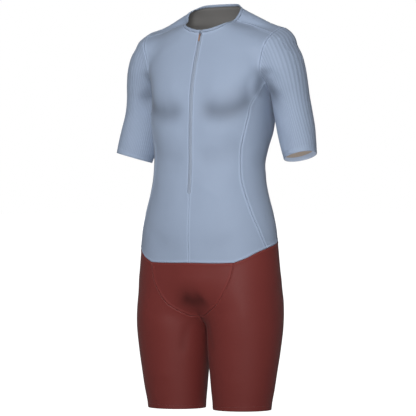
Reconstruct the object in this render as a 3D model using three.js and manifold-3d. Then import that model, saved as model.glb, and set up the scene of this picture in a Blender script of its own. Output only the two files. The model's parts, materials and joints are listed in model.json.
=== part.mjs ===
// Short-sleeved triathlon suit in two colours, filled out as if worn, with nobody in it.
// Millimetres, +Z up, the front towards -Y and the wearer's left towards +X.
// The origin is on the middle line, level with the shoulders beside the neck, where the suit hangs.
import * as THREE from 'three';
import { mergeVertices } from 'three/addons/utils/BufferGeometryUtils.js';
import Module from 'manifold-3d';

// Cloth and seams
const WALL = 1.2;
const SEAM_GAP = 0.3;
const LAYER_GAP = 0.35;

// Levels of the suit
const WAIST_Z = -622;
const ZIP_END_Z = -453;
const CROTCH_Z = -757;
const HEM_Z = -982;

// Sleeves
const ARM_LEAN = THREE.MathUtils.degToRad(14);
const ARM_ROOT = new THREE.Vector3(164, 36, -100);
const SLEEVE_LENGTH = 272;
const CUFF_SLANT = 0.13;
const CUFF_HEM = 11;
const RIB_HEIGHT = 0.6;
const RIB_FACETS = 4;

// Neck binding: how far its section goes out of the cloth and up from the neck seam
const BINDING_SECTION = [
  { out: -1.7, up: 0.15 },
  { out: -1.7, up: 5.4 },
  { out: -0.4, up: 6.4 },
  { out: 0.6, up: 5.4 },
  { out: 0.5, up: 0.15 },
];

// Zip: its chain between the fronts, its tape behind them, the slider and the pull
const ZIP_HALF = 4.2;
const CHAIN_HALF = 1.7;
const CHAIN_PROUD = 0.4;
const TAPE_SUNK = 0.3;
const TAPE_BEHIND = 0.5;
const TAPE_THICK = 0.9;
const TAPE_REACH = 0.55;
const SLIDER_DROP = 5.6;
const SLIDER = { wide: 7, long: 10, thick: 1.8, lift: 1 };
const BRIDGE = { wide: 1.2, half: 2.2, window: 1.3, tall: 2.8, inside: 2 };
const PULL = { wide: 4.6, bar: 0.9, eye: 2.2, eyeEnd: 3.3, long: 20, tip: 3.6 };

// Panel grids: segments along each shared seam
const SEGMENTS = {
  zip: 16, front: 8, neckFront: 6, neckBack: 4, shoulder: 4, armFront: 7, armBack: 11, underarm: 5,
  princess: 17, waistMiddle: 5, waistFront: 5, waistSide: 5, waistBack: 8, gusset: 8, crotch: 9,
  sleeve: 12, leg: 12,
};
const RELAX_ROUNDS = 5;

// The filled-out form: a general figure given by smooth sections of its trunk, leg and arm.
// Widths are half widths, front and back are reaches from the section's own middle.
const TRUNK = sections(['z', 'half', 'middle', 'front', 'back', 'square'], [
  [110, 50, 33, 78, 46, 2.0],
  [40, 54, 42, 87, 42, 2.0],
  [12, 56, 46, 91, 42, 2.0],
  [0, 58, 50, 95, 45, 2.0],
  [-12, 63, 54, 99, 48, 2.0],
  [-25, 70, 57, 102, 50, 2.0],
  [-33, 78, 58, 103, 53, 2.0],
  [-41, 104, 58, 103, 56, 2.0],
  [-48, 126, 56, 102, 61, 2.0],
  [-56, 145, 53, 100, 67, 2.1],
  [-75, 159, 42, 95, 86, 2.4],
  [-110, 160, 30, 97, 106, 2.8],
  [-150, 160, 24, 107, 115, 2.9],
  [-200, 150, 20, 117, 120, 2.8],
  [-245, 151, 20, 121, 118, 2.8],
  [-298, 150, 20, 124, 111, 2.5],
  [-342, 144, 10, 114, 104, 2.3],
  [-381, 142, 1, 105, 97, 2.2],
  [-421, 146, 0, 108, 97, 2.1],
  [-460, 154, 0, 111, 98, 2.1],
  [-499, 165, 0, 113, 101, 2.1],
  [-539, 173, 0, 116, 104, 2.0],
  [-578, 177, -1, 114, 107, 2.0],
  [-622, 178, -2, 111, 110, 2.0],
  [-652, 177, -3, 108, 111, 2.0],
]);
const TRUNK_CAP = 112;
const YOKE_REACH = -170;

// The ridge of each shoulder, round and thickening from the neck to the arm
const YOKE = {
  start: new THREE.Vector3(67, 46.5, -28.5),
  end: new THREE.Vector3(162, 54, -80.5),
  startRadius: 27.5,
  endRadius: 30.8,
  blend: 24,
};
const LEG = sections(['z', 'side', 'middle', 'half', 'front', 'back', 'skew'], [
  [-560, 84, 0, 70, 74, 92, 0],
  [-622, 88, 0, 79, 82, 100, 0],
  [-676, 92, 0, 88, 92, 110, 0],
  [-716, 95, 0, 92.5, 97, 111, 0],
  [-775, 97, -2, 93, 93, 104, 0],
  [-834, 95, -3, 90, 85, 94, 0],
  [-893, 93.5, -3, 83, 79, 83, 0],
  [-932, 92, -3, 78.5, 74, 78, 0],
  [-971, 90, -2, 73, 70, 72, 0],
  [-1010, 89, -2, 70, 67, 69, 0],
]);
const LEG_CAP = 70;
const ARM = sections(['along', 'side', 'middle', 'half', 'front', 'back', 'skew'], [
  [0, 0.5, -1, 48, 68, 50.5, 0],
  [26, 8, 0, 50, 68, 51, 0],
  [60, 10, 1, 50, 65, 52, -0.03],
  [95, 9, 4, 48, 58, 51, -0.06],
  [128, 5, 8, 47.5, 52, 50, -0.08],
  [165, 1, 12, 48, 51, 50, -0.1],
  [209, 0, 9, 48, 50, 50, -0.12],
  [245, 0, 3, 45.5, 47.5, 47.5, -0.14],
  [272, 0, -1, 43, 45, 45, -0.15],
  [320, 0, -7, 41, 43, 43, -0.15],
]);
const ARM_CAP = 40;

// How softly the limbs run into the trunk, and where sleeve and side part below the armpit
const ARM_BLEND = { soft: 36, tight: 2, from: -150, to: -205 };
const ARM_PART = { push: 80, from: -206, to: -216 };
const LEG_BLEND = 34;

// Smooth curves through the rows of a table, read by its first column
function sections(columns, rows) {
  const sorted = rows.slice().sort((a, b) => a[0] - b[0]);
  const last = sorted.length - 1;
  const slope = (i, c) => {
    const low = sorted[Math.max(i - 1, 0)];
    const high = sorted[Math.min(i + 1, last)];
    return (high[c] - low[c]) / (high[0] - low[0]);
  };
  const slopes = sorted.map((row, i) => row.map((_, c) => (c ? slope(i, c) : 1)));
  return { columns, rows: sorted, slopes, first: sorted[0][0], last: sorted[last][0] };
}

function sectionAt(table, key) {
  const { columns, rows, slopes } = table;
  const at = THREE.MathUtils.clamp(key, table.first, table.last);
  let i = 0;
  while (i < rows.length - 2 && rows[i + 1][0] < at) i += 1;
  const step = rows[i + 1][0] - rows[i][0];
  const t = (at - rows[i][0]) / step;
  const end = t * t * (3 - 2 * t);
  const startSlope = t * (1 - t) * (1 - t) * step;
  const endSlope = t * t * (t - 1) * step;
  const section = {};
  for (let c = 1; c < columns.length; c += 1) {
    section[columns[c]] = rows[i][c] * (1 - end) + rows[i + 1][c] * end
      + slopes[i][c] * startSlope + slopes[i + 1][c] * endSlope;
  }
  return section;
}

function ease(value, from, to) {
  const t = THREE.MathUtils.clamp((value - from) / (to - from), 0, 1);
  return t * t * (3 - 2 * t);
}

// Distance outside a section, closed by a rounded cap that is cap high past its end
function distanceOutside(across, fore, section, past, cap) {
  const u = across / section.half;
  const w = fore / (fore < 0 ? section.front : section.back);
  const skew = section.skew ?? 0;
  const square = section.square ?? 2;
  const ring = section.square
    ? (Math.abs(u) ** square + Math.abs(w) ** square) ** (1 / square)
    : Math.sqrt(Math.max(u * u + w * w - 2 * skew * u * w, 0) / (1 - skew * skew));
  const over = Math.max(past, 0) / cap;
  const reach = Math.hypot(across, fore, over * cap);
  return reach * (1 - 1 / Math.max(Math.hypot(ring, over), 1e-3));
}

function trunk(p) {
  const section = sectionAt(TRUNK, p.z);
  const barrel = distanceOutside(p.x, p.y - section.middle, section, TRUNK.first - p.z, TRUNK_CAP);
  return p.z < YOKE_REACH ? barrel : blend(barrel, yoke(p), YOKE.blend);
}

// Distance outside the shoulder's ridge
function yoke(p) {
  const line = YOKE.end.clone().sub(YOKE.start);
  const offset = new THREE.Vector3(Math.abs(p.x), p.y, p.z).sub(YOKE.start);
  const t = THREE.MathUtils.clamp(offset.dot(line) / line.lengthSq(), 0, 1);
  const radius = THREE.MathUtils.lerp(YOKE.startRadius, YOKE.endRadius, t);
  return offset.addScaledVector(line, -t).length() - radius;
}

function leg(p) {
  const section = sectionAt(LEG, p.z);
  const across = Math.abs(p.x) - section.side;
  return distanceOutside(across, p.y - section.middle, section, p.z - LEG.last, LEG_CAP);
}

// The arm's own frame: along it, across it away from the body, and towards the back
function armFrame(p) {
  const x = Math.abs(p.x) - ARM_ROOT.x;
  const z = p.z - ARM_ROOT.z;
  return {
    along: x * Math.sin(ARM_LEAN) - z * Math.cos(ARM_LEAN),
    side: x * Math.cos(ARM_LEAN) + z * Math.sin(ARM_LEAN),
    fore: p.y - ARM_ROOT.y,
  };
}

function fromArmFrame(along, side, fore) {
  return new THREE.Vector3(
    ARM_ROOT.x + along * Math.sin(ARM_LEAN) + side * Math.cos(ARM_LEAN),
    ARM_ROOT.y + fore,
    ARM_ROOT.z - along * Math.cos(ARM_LEAN) + side * Math.sin(ARM_LEAN),
  );
}

function arm(p) {
  const { along, side, fore } = armFrame(p);
  const section = sectionAt(ARM, along);
  return distanceOutside(side - section.side, fore - section.middle, section, -along, ARM_CAP);
}

function blend(a, b, width) {
  const near = Math.max(width - Math.abs(a - b), 0);
  return Math.min(a, b) - (near * near) / (4 * width);
}

function armBlend(z) {
  return ARM_BLEND.tight + (ARM_BLEND.soft - ARM_BLEND.tight) * ease(z, ARM_BLEND.to, ARM_BLEND.from);
}

function parting(z) {
  return ARM_PART.push * ease(-z, -ARM_PART.from, -ARM_PART.to);
}

// The trunk and legs as their panels follow them, and the arm as its sleeve does
function bodyForm(p) {
  const upper = blend(trunk(p), arm(p) + parting(p.z), armBlend(p.z));
  return p.z > LEG.last + LEG_CAP ? upper : blend(upper, leg(p), LEG_BLEND);
}

function sleeveForm(p) {
  return blend(trunk(p) + parting(p.z), arm(p), armBlend(p.z));
}

function slopeOf(form, p) {
  const h = 0.4;
  const probe = p.clone();
  const slope = new THREE.Vector3();
  for (const axis of ['x', 'y', 'z']) {
    probe[axis] = p[axis] + h;
    const ahead = form(probe);
    probe[axis] = p[axis] - h;
    slope[axis] = (ahead - form(probe)) / (2 * h);
    probe[axis] = p[axis];
  }
  return slope;
}

// A sample is a point on the form with the direction out of it
function settle(form, start, rounds = 5) {
  const at = start.clone();
  for (let i = 0; i < rounds; i += 1) {
    const slope = slopeOf(form, at);
    const move = THREE.MathUtils.clamp(form(at) / Math.max(slope.lengthSq(), 0.05), -25, 25);
    at.addScaledVector(slope, -move);
  }
  return { at, out: slopeOf(form, at).normalize() };
}

// A sample in the crease where the arm leaves the trunk, facing out of both
function settleInCrease(start) {
  const at = start.clone();
  const trunkSide = (p) => trunk(p) - armBlend(p.z) / 4;
  const armSide = (p) => arm(p) - armBlend(p.z) / 4;
  for (let i = 0; i < 12; i += 1) {
    const a = slopeOf(trunkSide, at);
    const b = slopeOf(armSide, at);
    const mix = a.dot(b);
    const scale = Math.max(a.lengthSq() * b.lengthSq() - mix * mix, 1e-3);
    const onA = (b.lengthSq() * trunkSide(at) - mix * armSide(at)) / scale;
    const onB = (a.lengthSq() * armSide(at) - mix * trunkSide(at)) / scale;
    at.addScaledVector(a, -onA).addScaledVector(b, -onB);
  }
  const out = slopeOf(trunk, at).normalize().add(slopeOf(arm, at).normalize());
  return { at, out: out.normalize() };
}

const point = (x, y, z) => new THREE.Vector3(x, y, z);
const onBody = (x, y, z) => settle(bodyForm, point(x, y, z));

// A seam: samples at even steps along a smooth line, between two samples that it shares
function seam(start, through, end, segments, place = (p) => settle(bodyForm, p)) {
  const line = new THREE.CatmullRomCurve3([start.at, ...through, end.at], false, 'centripetal');
  const inner = line.getSpacedPoints(segments).slice(1, -1);
  return [start, ...inner.map(place), end];
}

const reversed = (list) => list.slice().reverse();

// Points of the pattern, on the wearer's left half
const zipOffset = ZIP_HALF + LAYER_GAP - SEAM_GAP / 2;
const zipTop = onBody(zipOffset, -49, -59.5);
const zipEnd = onBody(zipOffset, -111, ZIP_END_Z);
const belowZip = onBody(0, -112, ZIP_END_Z - 4);
const neckShoulder = onBody(69, 9, -31);
const neckBack = onBody(0, 88, 12);
const shoulderTip = onBody(172, -2, -75);
const pitFront = settleInCrease(point(154, -6, -184));
const pitBack = settleInCrease(point(149, 56, -198));
const waistMiddle = onBody(0, -113, WAIST_Z);
const waistCorner = onBody(109, -86, WAIST_Z);
const waistFrontSide = onBody(171, -34, -587);
const waistBackSide = onBody(138, 78, -556);
const waistBack = onBody(0, 112, -545);
const crotchFront = onBody(0, -62, CROTCH_Z);

// Seams on the same half, through points measured on the form
const middleLine = (rows) => rows.map(([y, z]) => point(0, y, z));
const frontMiddle = [
  ...seam(zipTop, [point(zipOffset, -62, -98), point(zipOffset, -83, -150), point(zipOffset, -94, -190),
    point(zipOffset, -100, -236), point(zipOffset, -104, -298), point(zipOffset, -104, -371)], zipEnd,
  SEGMENTS.zip),
  ...seam(belowZip, middleLine([[-116, -544]]), waistMiddle, SEGMENTS.front - 1),
];
const neckFrontSeam = seam(zipTop, [point(18, -47, -58.5), point(41, -37, -53), point(54, -27, -47),
  point(64, -9, -39.5)], neckShoulder, SEGMENTS.neckFront);
const neckBackSeam = seam(neckShoulder, [point(73, 24, -18), point(71.5, 39, -5), point(66, 52, 3.5),
  point(54, 65, 8.5), point(28, 83, 11.5)], neckBack, SEGMENTS.neckBack);
const shoulderSeam = seam(neckShoulder, [point(100, 15, -41), point(133, 12, -55), point(157, 5, -65)],
  shoulderTip, SEGMENTS.shoulder);
const armFrontSeam = seam(pitFront, [point(154, -34, -162), point(155, -39, -145), point(160, -39, -112),
  point(167, -28, -88)], shoulderTip, SEGMENTS.armFront);
const armBackSeam = seam(shoulderTip, [point(176, 40, -55), point(174, 62, -60), point(165, 90, -88),
  point(153, 89, -129), point(149.5, 79, -167)], pitBack, SEGMENTS.armBack);
const underarmSeam = seam(pitBack, [point(150, 42, -207), point(150.6, 20, -200)], pitFront,
  SEGMENTS.underarm, settleInCrease);
const princessSeam = seam(pitFront, [point(146, -27, -211), point(140, -47, -236), point(133, -56, -269),
  point(125, -61, -309), point(119, -63, -341), point(117, -64, -380), point(120, -65, -422),
  point(132, -62, -466), point(147, -57, -510), point(161, -48, -547)], waistFrontSide,
SEGMENTS.princess);
const backSideSeam = seam(pitBack, [point(140, 85, -235), point(130, 95, -290), point(119, 79, -340),
  point(113, 68, -397), point(120, 68, -450), point(132, 72, -508)], waistBackSide,
SEGMENTS.princess);
const waistMiddleSeam = seam(waistMiddle, [point(60, -109, WAIST_Z - 1)], waistCorner,
  SEGMENTS.waistMiddle);
const waistFrontSeam = seam(waistCorner, [point(136, -77, -611), point(156, -60, -598)], waistFrontSide,
  SEGMENTS.waistFront);
const waistSideSeam = seam(waistFrontSide, [point(177, 5, -577), point(167, 46, -566)], waistBackSide,
  SEGMENTS.waistSide);
const waistBackSeam = seam(waistBackSide, [point(100, 98, -550), point(50, 109, -546)], waistBack,
  SEGMENTS.waistBack);
const gussetSeam = seam(crotchFront, [point(15, -68, -754), point(40, -84, -741), point(70, -94, -720),
  point(90, -96, -690), point(105, -92, -655)], waistCorner, SEGMENTS.gusset);
const crotchSeam = seam(waistBack, middleLine([[112, -600], [108, -660], [92, -715], [50, -762],
  [0, -775], [-40, -768]]), crotchFront, SEGMENTS.crotch);

// A four-sided panel between its seams, drawn on the form and evened out there
function panel(top, bottom, left, right, form) {
  const rows = left.length - 1;
  const columns = top.length - 1;
  const mixed = (r, c) => {
    const u = c / columns;
    const v = r / rows;
    const sum = point(0, 0, 0);
    sum.addScaledVector(top[c].at, 1 - v).addScaledVector(bottom[c].at, v);
    sum.addScaledVector(left[r].at, 1 - u).addScaledVector(right[r].at, u);
    sum.addScaledVector(top[0].at, (u - 1) * (1 - v)).addScaledVector(top[columns].at, -u * (1 - v));
    return sum.addScaledVector(bottom[0].at, (u - 1) * v).addScaledVector(bottom[columns].at, -u * v);
  };
  const grid = left.map((_, r) => top.map((_sample, c) => {
    if (r === 0) return top[c];
    if (r === rows) return bottom[c];
    if (c === 0) return left[r];
    return c === columns ? right[r] : settle(form, mixed(r, c));
  }));
  return relaxed(grid, form, false);
}

// A tube of cloth from a closed seam to an open edge
function tube(ring, edge, rows, form) {
  const grid = [ring];
  for (let r = 1; r < rows; r += 1) {
    grid.push(ring.map((sample, c) => settle(form, sample.at.clone().lerp(edge[c].at, r / rows))));
  }
  grid.push(edge);
  return relaxed(grid, form, true);
}

function relaxed(grid, form, closed) {
  const columns = grid[0].length;
  const first = closed ? 0 : 1;
  for (let round = 0; round < RELAX_ROUNDS; round += 1) {
    const before = grid.map((row) => row.map((sample) => sample.at));
    for (let r = 1; r < grid.length - 1; r += 1) {
      for (let c = first; c < columns - first; c += 1) {
        const mean = before[r - 1][c].clone().add(before[r + 1][c])
          .add(before[r][(c + 1) % columns]).add(before[r][(c + columns - 1) % columns]);
        grid[r][c] = settle(form, mean.multiplyScalar(0.25), 3);
      }
    }
  }
  return grid;
}

// Two triangles for each cell of a grid, parted along its shorter diagonal and facing out, with
// row 0 on top and columns left to right
function gridFaces(points, rows, columns, closed) {
  const faces = [];
  const width = closed ? columns : columns - 1;
  for (let r = 0; r < rows - 1; r += 1) {
    for (let c = 0; c < width; c += 1) {
      const next = (c + 1) % columns;
      const [a, b] = [r * columns + c, r * columns + next];
      const [d, e] = [a + columns, b + columns];
      const falling = points[a].distanceTo(points[e]) < points[b].distanceTo(points[d]);
      faces.push(...(falling ? [[a, d, e], [a, e, b]] : [[a, d, b], [b, d, e]]));
    }
  }
  return faces;
}

const places = (samples) => samples.map((sample) => sample.at);

// Joins samples that lie in one place and drops the faces that this closes up
function welded(samples, faces) {
  const seen = new Map();
  const kept = [];
  const index = samples.map((sample) => {
    const key = sample.at.toArray().map((value) => Math.round(value * 1e4)).join();
    if (!seen.has(key)) seen.set(key, kept.push({ at: sample.at.clone(), out: sample.out }) - 1);
    return seen.get(key);
  });
  const joined = faces.map((face) => face.map((i) => index[i]))
    .filter(([a, b, c]) => a !== b && b !== c && c !== a);
  return { samples: kept, faces: joined };
}

function edgesOf(faces) {
  const used = new Set(faces.flatMap(([a, b, c]) => [`${a},${b}`, `${b},${c}`, `${c},${a}`]));
  return [...used].map((edge) => edge.split(',').map(Number)).filter(([a, b]) => !used.has(`${b},${a}`));
}

// Moves the edge of a panel in by half a seam gap, square to the edge
function insetEdges({ samples, faces }) {
  const before = new Map();
  const after = new Map();
  for (const [a, b] of edgesOf(faces)) {
    const along = samples[b].at.clone().sub(samples[a].at).normalize();
    after.set(a, along);
    before.set(b, along);
  }
  const shifts = [...after].map(([i, ahead]) => {
    const out = samples[i].out;
    const one = out.clone().cross(ahead).normalize();
    const two = out.clone().cross(before.get(i)).normalize();
    const size = SEAM_GAP / 2 / Math.max(1 + one.dot(two), 0.2);
    return [i, one.add(two).multiplyScalar(size)];
  });
  shifts.forEach(([i, shift]) => samples[i].at.add(shift));
  return { samples, faces };
}

const sunk = (sample, depth) => sample.at.clone().addScaledVector(sample.out, -depth);

function solid(points, faces) {
  const geometry = new THREE.BufferGeometry();
  geometry.setAttribute('position', new THREE.Float32BufferAttribute(points.flatMap((p) => p.toArray()), 3));
  geometry.setIndex(faces.flat());
  return geometry;
}

// A closed wall of cloth under a sheet of samples
function wall({ samples, faces }, outer = 0, thickness = WALL) {
  const count = samples.length;
  const points = [
    ...samples.map((sample) => sunk(sample, outer)),
    ...samples.map((sample) => sunk(sample, outer + thickness)),
  ];
  const inside = faces.map(([a, b, c]) => [a + count, c + count, b + count]);
  const rim = edgesOf(faces).flatMap(([a, b]) => [[b, a, a + count], [b, a + count, b + count]]);
  return solid(points, [...faces, ...inside, ...rim]);
}

// The same samples on the wearer's right half, in the order that keeps the faces pointing out
function mirroredGrid(grid) {
  const flip = (v) => point(-v.x, v.y, v.z);
  return grid.map((row) => reversed(row).map(({ at, out }) => ({ at: flip(at), out: flip(out) })));
}

function sheet(grid, closed = false) {
  const samples = grid.flat();
  return insetEdges(welded(samples, gridFaces(places(samples), grid.length, grid[0].length, closed)));
}

function acrossMiddle(grid) {
  const other = mirroredGrid(grid);
  return grid.map((row, r) => [...other[r], ...row.slice(1)]);
}

// Panels of the left half
const frontGrid = panel(
  [...neckFrontSeam, ...shoulderSeam.slice(1)],
  [...waistMiddleSeam, ...waistFrontSeam.slice(1)],
  frontMiddle,
  [...reversed(armFrontSeam), ...princessSeam.slice(1)],
  bodyForm,
);
const sideGrid = panel(reversed(underarmSeam), waistSideSeam, princessSeam, backSideSeam, bodyForm);
const backMiddle = seam(neckBack, middleLine([[112, -50], [130, -120], [139, -200], [134, -280],
  [108, -360], [97, -400], [100, -470]]), waistBack, SEGMENTS.armBack + SEGMENTS.princess);
const backGrid = panel(
  [...reversed(shoulderSeam), ...neckBackSeam.slice(1)],
  waistBackSeam,
  [...armBackSeam, ...backSideSeam.slice(1)],
  backMiddle,
  bodyForm,
);
const gussetMiddle = seam(waistMiddle, middleLine([[-104, -680]]), crotchFront, SEGMENTS.gusset);
const crotchRow = waistMiddleSeam.map(() => crotchFront);
const gussetGrid = panel(waistMiddleSeam, crotchRow, gussetMiddle, reversed(gussetSeam), bodyForm);

// An open edge: a ring on a slanted plane, each sample at its column's bearing round the limb
function openEdge(ring, form, locate, plane) {
  const turn = 2 * Math.PI;
  const bearings = ring.map((sample) => locate.bearing(sample.at));
  return bearings.map((bearing, i) => {
    const even = bearings[0] + (turn * i) / ring.length;
    const off = THREE.MathUtils.euclideanModulo(bearing - even + Math.PI, turn) - Math.PI;
    let sample = { at: locate.start(even + off / 2) };
    for (let round = 0; round < 4; round += 1) {
      sample = settle(form, plane.projectPoint(sample.at, point(0, 0, 0)), 3);
    }
    return { at: plane.projectPoint(sample.at, point(0, 0, 0)), out: sample.out };
  });
}

// Sleeve: plain inside, ribs raised along it outside
const sleeveRing = [...armFrontSeam, ...armBackSeam.slice(1), ...underarmSeam.slice(1, -1)];
const armEnd = sectionAt(ARM, SLEEVE_LENGTH);
const cuffMiddle = fromArmFrame(SLEEVE_LENGTH, armEnd.side, armEnd.middle);
const cuffPlane = new THREE.Plane().setFromNormalAndCoplanarPoint(
  point(Math.sin(ARM_LEAN), -CUFF_SLANT, -Math.cos(ARM_LEAN)).normalize(),
  cuffMiddle,
);
const roundArm = {
  bearing(at) {
    const { side, fore } = armFrame(at);
    return Math.atan2(fore, side);
  },
  start: (bearing) => fromArmFrame(SLEEVE_LENGTH, armEnd.side + armEnd.half * Math.cos(bearing),
    armEnd.middle + armEnd.half * Math.sin(bearing)),
};
const cuffRing = openEdge(sleeveRing, sleeveForm, roundArm, cuffPlane);
const sleeveGrid = tube(sleeveRing, cuffRing, SEGMENTS.sleeve, sleeveForm);

function sleeveWall(grid) {
  const coarse = sheet(grid, true).samples;
  const rows = grid.length;
  const columns = grid[0].length;
  const fine = columns * RIB_FACETS;
  const half = fine / 2;
  const samples = coarse.flatMap((here, i) => {
    const row = Math.floor(i / columns);
    const next = coarse[row * columns + ((i + 1) % columns)];
    return Array.from({ length: RIB_FACETS }, (_, k) => {
      const t = k / RIB_FACETS;
      const between = { at: here.at.clone().lerp(next.at, t), out: here.out.clone().lerp(next.out, t) };
      between.out.normalize();
      return row > 0 && k > 0 ? settle(sleeveForm, between.at, 3) : between;
    });
  });
  const outer = samples.map((sample, i) => sunk(sample, i >= fine && i % 2 ? -RIB_HEIGHT : 0));
  const deep = samples.filter((_, i) => i % 2 === 0).map((sample) => sunk(sample, WALL));
  const start = outer.length;
  const lastOuter = start - fine;
  const lastDeep = start + (rows - 1) * half;
  const inside = gridFaces(deep, rows, half, true).map(([a, b, c]) => [a + start, c + start, b + start]);
  const rim = [];
  for (let c = 0; c < fine; c += 1) {
    const next = (c + 1) % fine;
    const own = Math.floor(c / 2);
    rim.push([c, next, start + own], [lastOuter + next, lastOuter + c, lastDeep + own]);
    if (c % 2) {
      const ownNext = (own + 1) % half;
      rim.push([next, start + ownNext, start + own]);
      rim.push([lastOuter + next, lastDeep + own, lastDeep + ownNext]);
    }
  }
  return solid([...outer, ...deep], [...gridFaces(outer, rows, fine, true), ...inside, ...rim]);
}

// Turned hem inside the cuff, made from the sleeve's own last two rows
function cuffHemGrid(grid) {
  const edge = grid[grid.length - 1];
  const above = grid[grid.length - 2];
  const top = edge.map((sample, c) => {
    const rise = CUFF_HEM / sample.at.distanceTo(above[c].at);
    return {
      at: sample.at.clone().lerp(above[c].at, rise),
      out: sample.out.clone().lerp(above[c].out, rise).normalize(),
    };
  });
  return [top, edge];
}

// Leg: from the waist, crotch and gusset seams down to the hem
const legRing = [
  ...gussetSeam, ...waistFrontSeam.slice(1), ...waistSideSeam.slice(1), ...waistBackSeam.slice(1),
  ...crotchSeam.slice(1, -1),
];
const legEnd = sectionAt(LEG, HEM_Z);
const hemPlane = new THREE.Plane().setFromNormalAndCoplanarPoint(point(0, 0, -1), point(0, 0, HEM_Z));
const roundLeg = {
  bearing: (at) => Math.atan2(at.y - legEnd.middle, at.x - legEnd.side),
  start: (bearing) => point(legEnd.side + legEnd.half * Math.cos(bearing),
    legEnd.middle + legEnd.half * Math.sin(bearing), HEM_Z),
};
const hemRing = openEdge(legRing, bodyForm, roundLeg, hemPlane);
const legGrid = tube(legRing, hemRing, SEGMENTS.leg, bodyForm);

// Neck binding: its section carried along the neck seam from one side of the zip to the other
function neckBinding() {
  const half = [...neckFrontSeam, ...neckBackSeam.slice(1)];
  const other = mirroredGrid([half])[0];
  const line = [...half, ...other.slice(1)];
  const points = line.flatMap((sample, i) => {
    const ahead = line[Math.min(i + 1, line.length - 1)].at;
    const behind = line[Math.max(i - 1, 0)].at;
    const up = sample.out.clone().cross(ahead.clone().sub(behind)).normalize();
    return BINDING_SECTION.map((corner) => sample.at.clone()
      .addScaledVector(sample.out, corner.out).addScaledVector(up, corner.up));
  });
  return loft(points, BINDING_SECTION.length);
}

// A solid through equal closed sections, each given clockwise as seen from the start
function loft(points, corners) {
  const faces = [];
  const last = points.length - corners;
  for (let i = 0; i < last; i += corners) {
    for (let c = 0; c < corners; c += 1) {
      const next = (c + 1) % corners;
      faces.push([i + c, i + next, i + corners + next], [i + c, i + corners + next, i + corners + c]);
    }
  }
  faces.push(...capFaces(points.slice(0, corners)).map(([a, b, c]) => [a, c, b]));
  faces.push(...capFaces(points.slice(last)).map((face) => face.map((i) => i + last)));
  return solid(points, faces);
}

// Triangles across one closed section, in its own plane
function capFaces(section) {
  const normal = point(0, 0, 0);
  section.forEach((corner, i) => normal.add(corner.clone().cross(section[(i + 1) % section.length])));
  const across = section[1].clone().sub(section[0]).normalize();
  const upward = normal.normalize().clone().cross(across);
  const flat = section.map((corner) => new THREE.Vector2(corner.dot(across), corner.dot(upward)));
  return THREE.ShapeUtils.triangulateShape(flat, []);
}

// Zip: the tape lies behind the fronts' own first column, the chain fills the slit between them
function zipTape() {
  const edges = sheet(frontGrid).samples;
  const columns = frontGrid[0].length;
  const points = [];
  const mirror = (p) => point(-p.x, p.y, p.z);
  for (let r = 0; r <= SEGMENTS.zip; r += 1) {
    const own = edges[r * columns];
    const next = edges[r * columns + 1];
    const tapeFace = WALL + TAPE_BEHIND;
    const hem = sunk(own, tapeFace).lerp(sunk(next, tapeFace), TAPE_REACH);
    const hemBack = sunk(own, tapeFace + TAPE_THICK).lerp(sunk(next, tapeFace + TAPE_THICK), TAPE_REACH);
    const half = [hemBack, hem, sunk(own, tapeFace).setX(ZIP_HALF), sunk(own, TAPE_SUNK).setX(ZIP_HALF),
      sunk(own, TAPE_SUNK).setX(CHAIN_HALF), sunk(own, -CHAIN_PROUD).setX(CHAIN_HALF)];
    points.push(...half, ...reversed(half).map(mirror));
  }
  return loft(points, points.length / (SEGMENTS.zip + 1));
}

// Slider and pull, built lying flat: x across, -Y out of the cloth, -Z down the zip
const wasm = await Module();
wasm.setup();

function toManifold(geometry) {
  const bare = geometry.clone();
  bare.deleteAttribute('normal');
  bare.deleteAttribute('uv');
  const merged = mergeVertices(bare, 1e-4);
  return new wasm.Manifold(new wasm.Mesh({
    numProp: 3,
    vertProperties: new Float32Array(merged.attributes.position.array),
    triVerts: new Uint32Array(merged.index.array),
  }));
}

function fromManifold(shape) {
  const mesh = shape.getMesh();
  const geometry = new THREE.BufferGeometry();
  geometry.setAttribute('position', new THREE.BufferAttribute(mesh.vertProperties, 3));
  geometry.setIndex(new THREE.BufferAttribute(mesh.triVerts, 1));
  return geometry;
}

function outline(corners) {
  return new THREE.Shape(corners.map(([x, y]) => new THREE.Vector2(x, y)));
}

function sliderBody() {
  const { wide, long, thick, lift } = SLIDER;
  const [half, end] = [wide / 2, long / 2];
  const plate = outline([[-half + 1, -end], [half - 1, -end], [half - 0.4, 0], [half, end - 1.5],
    [half - 1.5, end], [-half + 1.5, end], [-half, end - 1.5], [-half + 0.4, 0]]);
  const body = new THREE.ExtrudeGeometry(plate, { depth: thick, bevelEnabled: false });
  body.rotateX(Math.PI / 2).translate(0, -lift, 0);
  const arch = outline([[-BRIDGE.half, -1], [BRIDGE.half, -1], [BRIDGE.half, BRIDGE.tall - 0.8],
    [BRIDGE.half - 0.8, BRIDGE.tall], [0.8 - BRIDGE.half, BRIDGE.tall],
    [-BRIDGE.half, BRIDGE.tall - 0.8]]);
  arch.holes.push(outline([[-BRIDGE.window, 0], [BRIDGE.window, 0], [BRIDGE.window, BRIDGE.inside],
    [-BRIDGE.window, BRIDGE.inside]]));
  const bridge = new THREE.ExtrudeGeometry(arch, { depth: BRIDGE.wide, bevelEnabled: false });
  bridge.translate(0, 0, -BRIDGE.wide / 2).rotateY(Math.PI / 2).rotateX(Math.PI);
  bridge.translate(0, -lift - thick, 0);
  return fromManifold(toManifold(body).add(toManifold(bridge)));
}

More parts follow.
